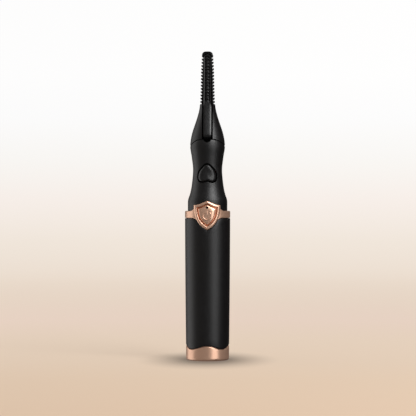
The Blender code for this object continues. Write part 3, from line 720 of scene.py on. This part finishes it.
def shrunk(outline, scale):
    """An outline drawn in towards the panel's centre."""
    return [(x * scale, PANEL_CENTRE_Z + (z - PANEL_CENTRE_Z) * scale) for x, z in outline]


def on_panel(outline, scale, drop=0.0):
    """A shrunk outline laid on the panel's front, or a drop behind it."""
    return [(x, drop - panel_front(x, scale), z) for x, z in shrunk(outline, scale)]


def make_power_panel():
    """The shield-shaped panel on its skirt, with the light hole, its lens and a raised power symbol."""
    outline = shield_outline(PANEL_APEX_Z, PANEL_SIDE)
    rings = [wrapped(outline, SKIRT_RADIUS), wrapped(outline, 10.5)]
    for scale, drop in ((0.997, 0.13), (0.985, 0.05), (0.965, 0.01)):
        rings.append(on_panel(outline, scale, drop))
    rings += [on_panel(outline, scale) for scale in (0.93, 0.88, 0.82, 0.75, 0.65, 0.52, 0.36, 0.2, 0.08)]
    middle = (0, -panel_front(0, 0), PANEL_CENTRE_Z)
    panel = loft("power_panel", rings, tips=((0, -SKIRT_RADIUS, PANEL_CENTRE_Z), middle))
    hole = [(-12.0, 0.64), (-11.12, 0.64), (-11.0, 0.57)]
    hole += [(-10.85, LIGHT_HOLE_RADIUS), (-9.0, LIGHT_HOLE_RADIUS)]
    carve(panel, plug("light_hole", LIGHT_Z, hole))
    dress(panel, "rose_gold", "power_button_body", "power_button")
    make_skirt()
    make_power_mark()
    # The lens takes a near-black tone as painted shade inside the light hole.
    lens = [(-7.1, LENS_RADIUS), (-10.25, LENS_RADIUS), (-10.37, 0.36), (-10.43, 0.22), (-10.45, 0.08)]
    lens = plug("status_lens", LIGHT_Z, lens, 24)
    dress(lens, "lens_white", "power_button_body", "status_light_lens")


def make_skirt():
    """The panel's wider foot, which closes the groove round it. Its deeper copper tone is painted shade in
    the groove.
    """
    side = tuple((z + SKIRT_GAP, max(x - SKIRT_GAP, 0)) for z, x in OPENING_SIDE)
    outline = shield_outline(OPENING_APEX_Z - 0.12, side)
    scales = (0.25, 0.5, 0.75, 1.0)
    rings = [wrapped(shrunk(outline, scale), SKIRT_BACK_RADIUS) for scale in scales]
    rings += [wrapped(shrunk(outline, scale), SKIRT_RADIUS) for scale in reversed(scales)]
    tips = ((0, -SKIRT_BACK_RADIUS, PANEL_CENTRE_Z), (0, -SKIRT_RADIUS, PANEL_CENTRE_Z))
    skirt = loft("panel_skirt", rings, tips=tips)
    carve(skirt, prism("skirt_hole", circle((0, LIGHT_Z), LIGHT_HOLE_RADIUS), "Y", -12, -9))
    dress(skirt, "rose_gold", "power_button_body", surface="rose_gold_groove_shade")


def make_power_mark():
    """A generic power symbol: an open ring and a bar."""
    rim = []
    for turn in between(math.radians(40), math.radians(320), 44):
        rim.append((MARK_RADIUS * math.sin(turn), PANEL_CENTRE_Z - 0.2 + MARK_RADIUS * math.cos(turn)))
    bar = [(0.0, z) for z in between(PANEL_CENTRE_Z + 0.5, PANEL_CENTRE_Z + 2.2, 8)]
    for name, line in (("power_mark_rim", rim), ("power_mark_bar", bar)):
        path = [(x, 0.01 - panel_front(x, 0), z) for x, z in line]
        dress(tube(name, path, MARK_BAR_RADIUS, 4), "rose_gold", "power_button_body")


# Neck and nose.


def neck_profile(angle):
    top = seam_height(angle) - SEAM_GAP / 2
    heights = between(76.0, 102.6, 50) + between(103.0, top - 0.35, 5)
    outside = [(NECK_SPIGOT, NECK_FOOT_Z), (NECK_SPIGOT, 68.8), (9.6, 69.3), (9.6, 72.0)]
    outside += [(neck_radius(z), z) for z in heights]
    for inset, drop in ((0.03, 0.2), (0.09, 0.09), (0.18, 0.03), (0.3, 0.0)):
        outside.append((neck_radius(top) - inset, top - drop))
    inside = [(neck_radius(z) - NECK_WALL, z) for z in between(top, 80.0, 9)]
    return outside + inside + [(NECK_BORE, 78.2), (NECK_BORE, NECK_FOOT_Z)]


def lip_profile(angle):
    """A lip inside the seam of the two shells, so that no light passes."""
    wall = [(NECK_BORE - 0.04, 70.0), (NECK_BORE - 0.04, 78.0)]
    wall += [(neck_radius(z) - NECK_WALL - 0.04, z) for z in between(80.0, SEAM_Z - SEAM_DROP - 1.0, 12)]
    return wall + [(radius - 0.5, z) for radius, z in reversed(wall)]


def heart_outline(scale=1.0, margin=0.0):
    """The clamp button's outline: a heart with its point up."""
    steps, points = 112, []
    for i in range(steps):
        turn = 2 * math.pi * i / steps
        reach = scale * sum(size * math.cos(n * turn) for n, size in enumerate(HEART_TERMS)) + margin
        points.append((reach * math.sin(turn), HEART_Z + reach * math.cos(turn)))
    return points


def on_neck(outline, proud, least=0.0):
    """A flat outline laid on the front of the neck, or proud of it, and no nearer the middle than least."""
    laid = []
    for x, z in outline:
        depth = math.sqrt(max((neck_radius(z) + proud) ** 2 - x**2, 0.0))
        laid.append((x, -max(depth, least), z))
    return laid


def make_neck():
    front = turned("neck_front", neck_profile, 132, (180.35, 359.65))
    # How proud of the neck each ring of the opening lies, and its margin round the heart.
    flare = (
        (0.9, HEART_GAP + 1.2),
        (0.04, HEART_GAP + 0.42),
        (-0.03, HEART_GAP + 0.3),
        (-0.14, HEART_GAP + 0.16),
        (-0.32, HEART_GAP + 0.05),
    )
    rings = [[(x, -12.0, z) for x, z in heart_outline(margin=HEART_GAP + 1.2)]]
    rings += [on_neck(heart_outline(margin=margin), proud) for proud, margin in flare]
    rings.append(on_neck(heart_outline(margin=HEART_GAP), -0.5))
    rings.append([(x, -0.6, z) for x, z in heart_outline(margin=HEART_GAP)])
    carve(front, loft("heart_opening", rings))
    carve(front, prism("arm_notch", circle((0, SEAM_Z + NOTCH_RISE), NOTCH_RADIUS, 48), "Y", -12, -3))
    carve(front, prism("stem_window", rectangle(-2.6, 2.6, 67.8, 72.6), "Y", -12, -5))
    carve(front, prism("light_window", circle((0, LIGHT_Z), 0.75), "Y", -12, -5))
    dress(front, "soft_touch_black", "handle", "neck_front_shell", sharp=30)
    back = turned("neck_back", neck_profile, 132, (0.35, 179.65))
    lips = [turned("neck_lip", lip_profile, 6, (middle - 4, middle + 4)) for middle in (0, 180)]
    back = joined("neck_back", [back, *lips])
    dress(back, "soft_touch_black", "handle", "neck_back_shell", sharp=30)


def make_heart_button():
    """A pillow with deep sides: round edges and a slightly dished face."""
    side = ((0.0, -1.9), (0.0, -0.9), (0.0, -0.35), (-0.06, -0.12), (-0.18, 0.10), (-0.36, 0.28))
    rim = ((-0.60, 0.42), (-0.90, 0.51))
    dish = ((0.71, 0.0), (0.62, 0.02), (0.52, 0.07), (0.42, 0.12), (0.30, 0.17), (0.18, 0.20), (0.06, 0.21))
    rings = [on_neck(heart_outline(margin=margin), proud, HEART_LEAST) for margin, proud in side + rim]
    rings += [on_neck(heart_outline(scale), HEART_PROUD - dip, HEART_LEAST) for scale, dip in dish]
    middle = neck_radius(HEART_Z)
    tips = ((0, -middle + 1.9, HEART_Z), (0, -middle - HEART_PROUD + 0.21, HEART_Z))
    button = loft("heart_button", rings, tips=tips)
    dress(button, "soft_touch_black", "clamp_button_body", "clamp_button", sharp=50)


def nose_profile(angle):
    bottom = seam_height(angle) + SEAM_GAP / 2
    spigot = NECK_WALL + 0.2
    outside = []
    for inset, rise in ((0.3, 0.0), (0.18, 0.03), (0.09, 0.09), (0.03, 0.2)):
        outside.append((neck_radius(bottom) - inset, bottom + rise))
    heights = between(bottom + 0.35, NOSE_TOP_Z - 0.4, 40)
    outside += [(neck_radius(z), z) for z in heights]
    for turn in between(0.3, math.pi / 2, 4):
        inset = 0.35 * (1 - math.cos(turn))
        outside.append((neck_radius(NOSE_TOP_Z) - inset, NOSE_TOP_Z - 0.35 * (1 - math.sin(turn))))
    outside += [(NOSE_BORE, NOSE_TOP_Z), (NOSE_BORE, 121.5)]
    inside = [(neck_radius(z) - NOSE_WALL, z) for z in (119.0, 116.0, 112.0)]
    inside.append((neck_radius(bottom) - spigot - 0.9, bottom + 0.8))
    lip_radius = neck_radius(NOSE_LIP_Z) - spigot
    lip = [(lip_radius - 0.9, NOSE_LIP_Z), (lip_radius, NOSE_LIP_Z)]
    return outside + inside + lip + [(neck_radius(bottom) - spigot, bottom)]


def make_nose():
    nose = turned("nose_shell", nose_profile, 192)
    rings = []
    for z in between(100.0, 126.0, 52):
        radius = neck_radius(min(z, NOSE_TOP_Z))
        wall = -math.sqrt(radius**2 - SLOT_HALF**2)
        right = [(SLOT_HALF, -1.6), (SLOT_HALF, wall + 0.4), (SLOT_HALF + 0.06, wall + 0.2)]
        right += [(SLOT_HALF + 0.2, wall + 0.05), (SLOT_HALF + 0.5, wall - 0.05), (SLOT_HALF + 1.0, -13.0)]
        rings.append([(x, y, z) for x, y in mirrored(right)])
    carve(nose, loft("arm_slot", rings))
    dress(nose, "soft_touch_black", "handle", "nose_cone", sharp=30)


# Comb head.


def comb_section(z, half, front, back, channel, floor_y):
    """A D in plan with a channel open to the front."""
    shoulder = back - half * 0.8
    lip = 0.16
    ring = [(channel + lip, front), (half - lip, front), (half - 0.05, front + 0.05), (half, front + lip)]
    for turn in between(0, math.pi, 20):
        ring.append((half * math.cos(turn), shoulder + (back - shoulder) * math.sin(turn)))
    ring += [(-half, front + lip), (-half + 0.05, front + 0.05), (-half + lip, front)]
    ring.append((-channel - lip, front))
    ring += [(-channel - 0.04, front + 0.05), (-channel, front + lip), (-channel, floor_y)]
    ring += [(channel, floor_y), (channel, front + lip), (channel + 0.04, front + 0.05)]
    return [(x, y, z) for x, y in ring]


def tooth(z, side):
    """A fin that leans up to its round tip and fades out towards the front and the back."""
    front, back = -1.75, 1.5
    root = root_half_width(z + 0.8) - 0.3
    rings = []
    for i in range(13):
        y = front + (back - front) * i / 12
        bulge = (1 - ((y - front) / (back - front) * 2 - 1) ** 2 * 0.999) ** 0.35
        tip = root + (comb_half_width(z + 0.8) - root) * (0.42 + 0.58 * bulge)
        grow = (tip - root) / (comb_half_width(z + 0.8) - root)
        lean = 0.66 * grow
        section = [(root, z + 0.02)]
        for turn in between(-1.3, 0.0, 3):
            section.append((tip - 0.2 + 0.2 * math.cos(turn), z + lean + 0.22 + 0.2 * math.sin(turn)))
        for turn in between(0.0, 1.3, 3):
            section.append((tip - 0.25 + 0.25 * math.cos(turn), z + lean + 0.64 + 0.25 * math.sin(turn)))
        section.append((root, z + 1.28))
        rings.append([(side * x, y, height) for x, height in section])
    return loft(f"tooth_{side}_{z:.1f}", rings)


def cap_ring(z, inset):
    """A rounded plan of the cap, drawn in by the inset."""
    half = CAP_HALF - inset
    front, back = CAP_FRONT_Y + inset, COMB_BACK_Y - 0.02 - inset
    shoulder = back - half * 0.85
    corner = min(0.55, half * 0.8)
    ring = []
    for turn in between(0, math.pi, 24):
        ring.append((half * math.cos(turn), shoulder + (back - shoulder) * math.sin(turn)))
    for start, centre_x in ((math.pi, corner - half), (1.5 * math.pi, half - corner)):
        for turn in between(start, start + math.pi / 2, 6):
            ring.append((centre_x + corner * math.cos(turn), front + corner + corner * math.sin(turn)))
    return [(x, y, z) for x, y in ring]


def make_cap():
    """The comb's domed cap, with an arch for the clamp arm's tip."""
    rings = [cap_ring(CAP_LOW_Z, 0.22), cap_ring(CAP_LOW_Z + 0.06, 0.08), cap_ring(CAP_LOW_Z + 0.2, 0.0)]
    rings.append(cap_ring(CAP_SIDE_Z, 0.0))
    for turn in between(0.1, 1.45, 14):
        z = CAP_SIDE_Z + (HEIGHT - CAP_SIDE_Z) * math.sin(turn)
        rings.append(cap_ring(z, 2.1 * (1 - math.cos(turn)) ** 1.1))
    rings.append(cap_ring(HEIGHT, 2.15))
    cap = loft("comb_cap", rings)
    arch = [(-ARCH_HALF, 140.0), (ARCH_HALF, 140.0)]
    for turn in between(0, math.pi, 24):
        arch.append((ARCH_HALF * math.cos(turn), 147.15 + ARCH_RISE * math.sin(turn)))
    carve(cap, prism("cap_arch", arch, "Y", -6.0, CHANNEL_FLOOR_Y))
    return cap


def make_comb():
    """The stem, the comb's body with its channel, the teeth on both sides and the cap."""
    rings = []
    for z in (STEM_BOTTOM_Z, NOSE_TOP_Z - 0.1):
        rings.append(comb_section(z, STEM_HALF, -0.9, 2.6, 1.25, CHANNEL_FLOOR_Y))
    levels = [(NOSE_TOP_Z - 0.04, 0.12), (COMB_BASE_Z, 0.03), (COMB_BASE_Z + 0.2, 0.0)]
    levels += [(z, 0.0) for z in between(COMB_BASE_Z + 1.0, COMB_END_Z, 24)]
    for z, inset in levels:
        half, back = root_half_width(z) - inset, COMB_BACK_Y - inset
        rings.append(comb_section(z, half, COMB_FRONT_Y, back, half - COMB_WALL, CHANNEL_FLOOR_Y))
    parts = [loft("comb_body", rings)]
    cover = rectangle(-1.3, 1.3, STEM_BOTTOM_Z + 0.1, NOSE_TOP_Z - 0.15)
    parts.append(prism("stem_cover", cover, "Y", -0.85, -0.45))
    for i in range(TOOTH_COUNT):
        for side in (1, -1):
            parts.append(tooth(FIRST_TOOTH_Z + i * RUNG_PITCH, side))
    parts.append(make_cap())
    dress(joined("comb", parts), "comb_black", "handle", "comb_head", sharp=35)


def make_heat_plate():
    """A satin strip with round edges, a shallow crown and a row of fine vents."""
    half = PLATE_HIGH.x
    rings = []
    for z, inset in ((0.0, 0.25), (0.06, 0.1), (0.2, 0.02), (0.4, 0.0)):
        outline = rounded_bar(half - inset, PLATE_LOW.y + inset / 2, PLATE_HIGH.y - inset / 2, 0.2)
        rings.append([(x, y, PLATE_LOW.z + z) for x, y in outline])
    for ring in reversed(rings[:]):
        rings.append([(x, y, PLATE_LOW.z + PLATE_HIGH.z - z) for x, y, z in ring])
    plate = loft("heating_plate", rings)
    for i in range(RUNG_COUNT):
        z = FIRST_RUNG_Z + (i + 0.5) * RUNG_PITCH
        vent = stadium((0, z), 1.5, 0.45, 6)
        carve(plate, prism("vent", vent, "Y", PLATE_LOW.y - 0.5, PLATE_LOW.y + 0.25))
    dress(plate, "aluminium", "handle", "heat_plate", sharp=30)


def make_pad():
    """The silicone pad, with round edges and a shallow rib for each rung of the arm."""
    length = PAD_HIGH.z - PAD_LOW.z
    rings = []
    for i in range(141):
        z = PAD_LOW.z + length * i / 140
        end = min(z - PAD_LOW.z, PAD_HIGH.z - z)
        inset = 0.3 * (1 - math.sqrt(1 - (1 - share(end, 0, 0.3)) ** 2))
        rib = 0.07 * (1 + math.cos(2 * math.pi * (z - PAD_LOW.z) / RUNG_PITCH)) / 2
        outline = rounded_bar(PAD_HIGH.x - inset, PAD_LOW.y + inset / 2, PAD_HIGH.y - rib - inset / 2, 0.22)
        rings.append([(x, y, z) for x, y in outline])
    pad = loft("silicone_pad", rings)
    dress(pad, "silicone_grey", "clamp_lever", "clamp_pad", sharp=50)


# Clamp arm: the places of its front and of its back, as (height, y).

ARM_FRONT = (
    (89.0, -3.6), (89.5, -4.15), (91.2, -4.15), (92.2, -3.3), (97.8, -3.45), (99.2, -5.2),
    (100.4, -6.1), (101.6, -6.1), (103.2, -4.4), (104.2, -3.9), (105.2, -3.9), (108.2, -7.6),
    (109.2, -8.0),
)
ARM_BACK = (
    (89.0, -1.9), (96.5, -1.9), (101.0, -2.3), (103.4, -2.6), (107.2, -2.6), (109.3, -6.2),
    (110.5, -5.9),
)


def along(stations, place):
    """The value at a place on straight lines through the stations."""
    for (p0, v0), (p1, v1) in zip(stations, stations[1:]):
        if place <= p1:
            return v0 + (v1 - v0) * share(place, p0, p1)
    return stations[-1][1]


def arm_front(z):
    return -(neck_radius(min(z, NOSE_TOP_Z)) + ARM_PROUD)


def rung_depth(z, part):
    """How deep the ladder lies behind the rails. Its rungs are round, and pits lie beside the rails."""
    place = (z - FIRST_RUNG_Z) / RUNG_PITCH
    if part == "rail" or not 0 <= place <= RUNG_COUNT:
        return 0.0
    crest = 0.03 + 0.1 * share(z, 134, 146)
    low, deep = {"pit": (0.18, 1.0), "floor": (0.18, 0.55), "crest": (crest, 0.5)}[part]
    return low + deep * math.sin(math.pi * place) ** 2


def arm_ring(z):
    """One level of the arm: a flat or laddered front with chamfered sides, and a plain back."""
    waist = 0.2 * (1 - share(z, 105.0, 112.0))
    half = ARM_HALF + (ARM_TIP_HALF - ARM_HALF) * share(z, 108.0, 147.0) - waist
    dome = math.sqrt(max(1 - share(z, 147.1, ARM_TOP_Z) ** 2, 0.02))
    front = arm_front(z) if z > 109.2 else max(along(ARM_FRONT, z), arm_front(109.2))
    back = arm_front(z) + ARM_THICKNESS if z > 110.5 else along(ARM_BACK, z)
    ladder = share(z, 122.5, 125.0)
    chamfer = 0.65 + (0.4 - 0.65) * ladder
    fall = 0.26 + (0.42 - 0.26) * ladder
    crown = 0.12 * (1 - ladder)
    rail = half - RAIL_WIDTH
    columns = [(half - chamfer, "rail"), (max(rail + 0.05, 1.0), "rail"), (rail, "pit"), (rail - 0.3, "pit")]
    columns += [(rail - 0.35, "floor"), (rail - 0.72, "crest")]
    if ladder < 1:
        columns[0] = (max(half - chamfer, rail + 0.08), "rail")
    points = [(x, front + crown * (x / half) ** 2 + rung_depth(z, part)) for x, part in columns]
    side = front + fall
    right = [(half - 0.12, back), (half, back - 0.12), (half, side + 0.12), (half - 0.05, side)]
    return [(x * dome, y, z) for x, y in mirrored(right + points)]


def make_arm():
    heights = between(ARM_BOTTOM_Z, 108.9, 64) + between(109.3, 125.3, 32)
    for i in range(RUNG_COUNT):
        heights += [FIRST_RUNG_Z + (i + step / 8) * RUNG_PITCH for step in range(8)]
    heights.append(FIRST_RUNG_Z + RUNG_COUNT * RUNG_PITCH)
    top = heights[-1]
    heights += [top + (ARM_TOP_Z - top) * math.sin(math.pi / 2 * i / 6) for i in range(1, 7)]
    arm = loft("clamp_arm_bar", [arm_ring(z) for z in sorted(heights)])
    carve(arm, prism("pin_hole", circle((PIN_CENTRE.y, PIN_CENTRE.z), PIN_RADIUS + 0.2), "X", -5, 5))
    dress(arm, "arm_black", "clamp_lever", "clamp_arm", sharp=35)


def make_spring():
    """The clamp spring, with flat end turns. The real spring shortens as the clamp opens; here it keeps one
    length.
    """
    turns, wire = 7, 0.18
    radius = (SPRING_HIGH.x - SPRING_LOW.x) / 2 - wire
    centre_z = (SPRING_LOW.z + SPRING_HIGH.z) / 2
    path = []
    for i in range(turns * 24 + 1):
        place = i / (turns * 24)
        pitch = min(max((place - 0.09) / 0.82, 0.0), 1.0)
        y = SPRING_LOW.y + wire + place * 0.1 + pitch * (SPRING_HIGH.y - SPRING_LOW.y - 2 * wire - 0.1)
        turn = 2 * math.pi * place * turns
        path.append((radius * math.cos(turn), y, centre_z + radius * math.sin(turn)))
    spring = tube("spring_coil", path, wire, 2)
    dress(spring, "steel", "handle", "clamp_spring", sharp=60)
    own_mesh(spring)


def dress_cad_nodes():
    """Materials for the CAD nodes that stay in view or inside."""
    slots = {part["node"]: part["material_slot"] for part in frame["record"]["subparts"]}
    for name, node in frame["nodes"].items():
        surface = "led_epoxy" if name == "status_led" else slots[name]
        node.data.materials.clear()
        node.data.materials.append(SURFACES[surface])


# Stage, in metres, with its lights and camera. The tones run from the front to the far wall.

STAGE_TONES = (
    (-0.24, (204, 180, 157)), (-0.10, (208, 186, 164)), (0.0, (212, 192, 172)), (0.14, (218, 199, 180)),
    (0.32, (225, 205, 190)), (0.60, (230, 213, 197)), (0.93, (235, 220, 205)), (1.08, (241, 231, 220)),
    (1.16, (247, 239, 233)), (1.23, (249, 247, 244)), (1.29, (252, 252, 252)), (1.35, (254, 254, 254)),
)
STAGE_RADIUS = 0.9
STAGE_BEND = 0.4
GLOW = 0.914
STAGE_LIT = 0.38
# Strength and reach of the painted contact shadow round the foot.
CONTACT_SHADE = 0.66
SHADE_INNER = 0.0105
SHADE_OUTER = 0.036
WARM_SHIFT = 0.35
LIGHT_DISTANCE = 0.5
AIM_Z = 0.09
CAMERA_PLACE = (0.02376, -0.89969, 0.0739)
CAMERA_TURN = 1.5


def stage_profile():
    """The radius, the height and the distance run along the stage, of each of its rings."""
    radii = between(0.008, 0.064, 22) + between(0.08, 0.2, 6) + between(0.24, STAGE_RADIUS, 11)
    profile = [(r, 0.0, r) for r in radii]
    for turn in between(0, math.pi / 2, 30)[1:]:
        radius = STAGE_RADIUS + STAGE_BEND * math.sin(turn)
        profile.append((radius, STAGE_BEND * (1 - math.cos(turn)), STAGE_RADIUS + STAGE_BEND * turn))
    return profile + [(STAGE_RADIUS + STAGE_BEND, 1.4, 2.4)]


def make_stage():
    """A round studio floor that curves up into a wall, pale and slightly warm near the object, with a painted
    contact shadow round the foot.
    """
    segments = 96
    profile = stage_profile()
    points, sweep, shade, faces = [(0, 0, 0)], [0.0], [1.0], []
    for radius, z, run in profile:
        for i in range(segments):
            angle = 2 * math.pi * i / segments
            x, y = radius * math.cos(angle), radius * math.sin(angle)
            warm = math.hypot(x, y + WARM_SHIFT) - WARM_SHIFT
            points.append((x, y, z))
            sweep.append(run + (warm - run) * (1 - share(radius, 0.3, 0.9)))
            # The shade attribute maps the painted contact shadow, strongest at the foot.
            shade.append((1 - share(math.hypot(x, 0.6 * y), SHADE_INNER, SHADE_OUTER)) ** 1.6)
    faces += [(0, 1 + i, 1 + (i + 1) % segments) for i in range(segments)]
    for level in range(len(profile) - 1):
        for i in range(segments):
            j = (i + 1) % segments
            here = 1 + level * segments
            faces.append((here + i, here + segments + i, here + segments + j, here + j))
    mesh = bpy.data.meshes.new("studio_floor")
    mesh.from_pydata(points, [], faces)
    mesh.shade_smooth()
    for name, values in (("sweep", sweep), ("shade", shade)):
        mesh.attributes.new(name, "FLOAT", "POINT").data.foreach_set("value", values)
    mesh.materials.append(stage_material())
    floor = placed("studio_floor", mesh)
    floor.visible_glossy = False
    floor.visible_diffuse = False
    floor.visible_shadow = False


def stage_material():
    nodes = Nodes("studio_paper")
    low, high = STAGE_TONES[0][0], STAGE_TONES[-1][0]
    sweep = nodes.add("Attribute", attribute_name="sweep").outputs["Fac"]
    ramp = nodes.add("ValToRGB", {"Fac": nodes.ranged(sweep, (low, high), (0, 1))})
    stops = ramp.color_ramp.elements
    while len(stops) < len(STAGE_TONES):
        stops.new(0.5)
    for stop, (place, tone) in zip(stops, STAGE_TONES):
        stop.position = (place - low) / (high - low)
        stop.color = linear(*tone)
    # Painted contact shadow: the tone is mixed towards dark grey by the shade attribute.
    shade = nodes.add("Attribute", attribute_name="shade").outputs["Fac"]
    depth = nodes.ranged(shade, (0, 1), (0, CONTACT_SHADE))
    tone = nodes.mixed(depth, ramp.outputs[0], (0.02, 0.022, 0.024))
    lit = nodes.mixed(STAGE_LIT, (0, 0, 0), tone)
    glow = {"Emission Color": tone, "Emission Strength": GLOW, "Specular IOR Level": 0.0}
    return nodes.finish(lit, 1.0, glow)


def soft_box(name, direction, size, power, height=AIM_Z):
    """An area light turned to the object. The direction is in degrees to the right of the front."""
    light = bpy.data.lights.new(name, "AREA")
    light.shape = "RECTANGLE"
    light.size, light.size_y = size
    light.energy = power
    made = placed(name, light)
    turn = math.radians(direction)
    made.location = (LIGHT_DISTANCE * math.sin(turn), -LIGHT_DISTANCE * math.cos(turn), height)
    aim = Vector((0, 0, AIM_Z)) - made.location
    made.rotation_euler = aim.to_track_quat("-Z", "Y").to_euler()


def make_world():
    """Dim air round the stage: lighter on the left, nearly black on the right."""
    world = bpy.data.worlds.new("studio_air")
    world.use_nodes = True
    bpy.context.scene.world = world
    tree = world.node_tree
    kinds = ("TexCoord", "SeparateXYZ", "MapRange", "ValToRGB")
    place, split, depth, ramp = [tree.nodes.new("ShaderNode" + kind) for kind in kinds]
    depth.inputs["From Min"].default_value = -1.0
    ramp.color_ramp.elements[0].color = (0.235, 0.215, 0.20, 1)
    ramp.color_ramp.elements[1].color = (0.024, 0.015, 0.012, 1)
    ramp.color_ramp.elements.new(0.5).color = (0.12, 0.114, 0.109, 1)
    tree.links.new(place.outputs["Generated"], split.inputs[0])
    tree.links.new(split.outputs["X"], depth.inputs["Value"])
    tree.links.new(depth.outputs[0], ramp.inputs[0])
    tree.links.new(ramp.outputs[0], tree.nodes["Background"].inputs["Color"])


def make_camera():
    camera = bpy.data.cameras.new("camera")
    camera.lens = 160
    camera.sensor_width = 36
    made = placed("camera", camera)
    made.location = CAMERA_PLACE
    made.rotation_euler = (math.pi / 2, 0, math.radians(CAMERA_TURN))
    bpy.context.scene.camera = made
    bpy.context.scene.view_settings.view_transform = "Standard"


def make_studio():
    make_stage()
    soft_box("key_right", 40, (0.36, 0.78), 1.58, height=0.26)
    soft_box("key_high", 40, (0.34, 0.4), 2.1, height=0.44)
    soft_box("fill_left", -104, (0.46, 0.9), 1.18)
    make_world()
    make_camera()


SURFACES = make_surfaces()
make_barrel()
make_foot_cap()
make_shield()
make_power_panel()
make_neck()
make_heart_button()
make_nose()
make_comb()
make_heat_plate()
make_pad()
make_arm()
make_spring()
dress_cad_nodes()
make_studio()
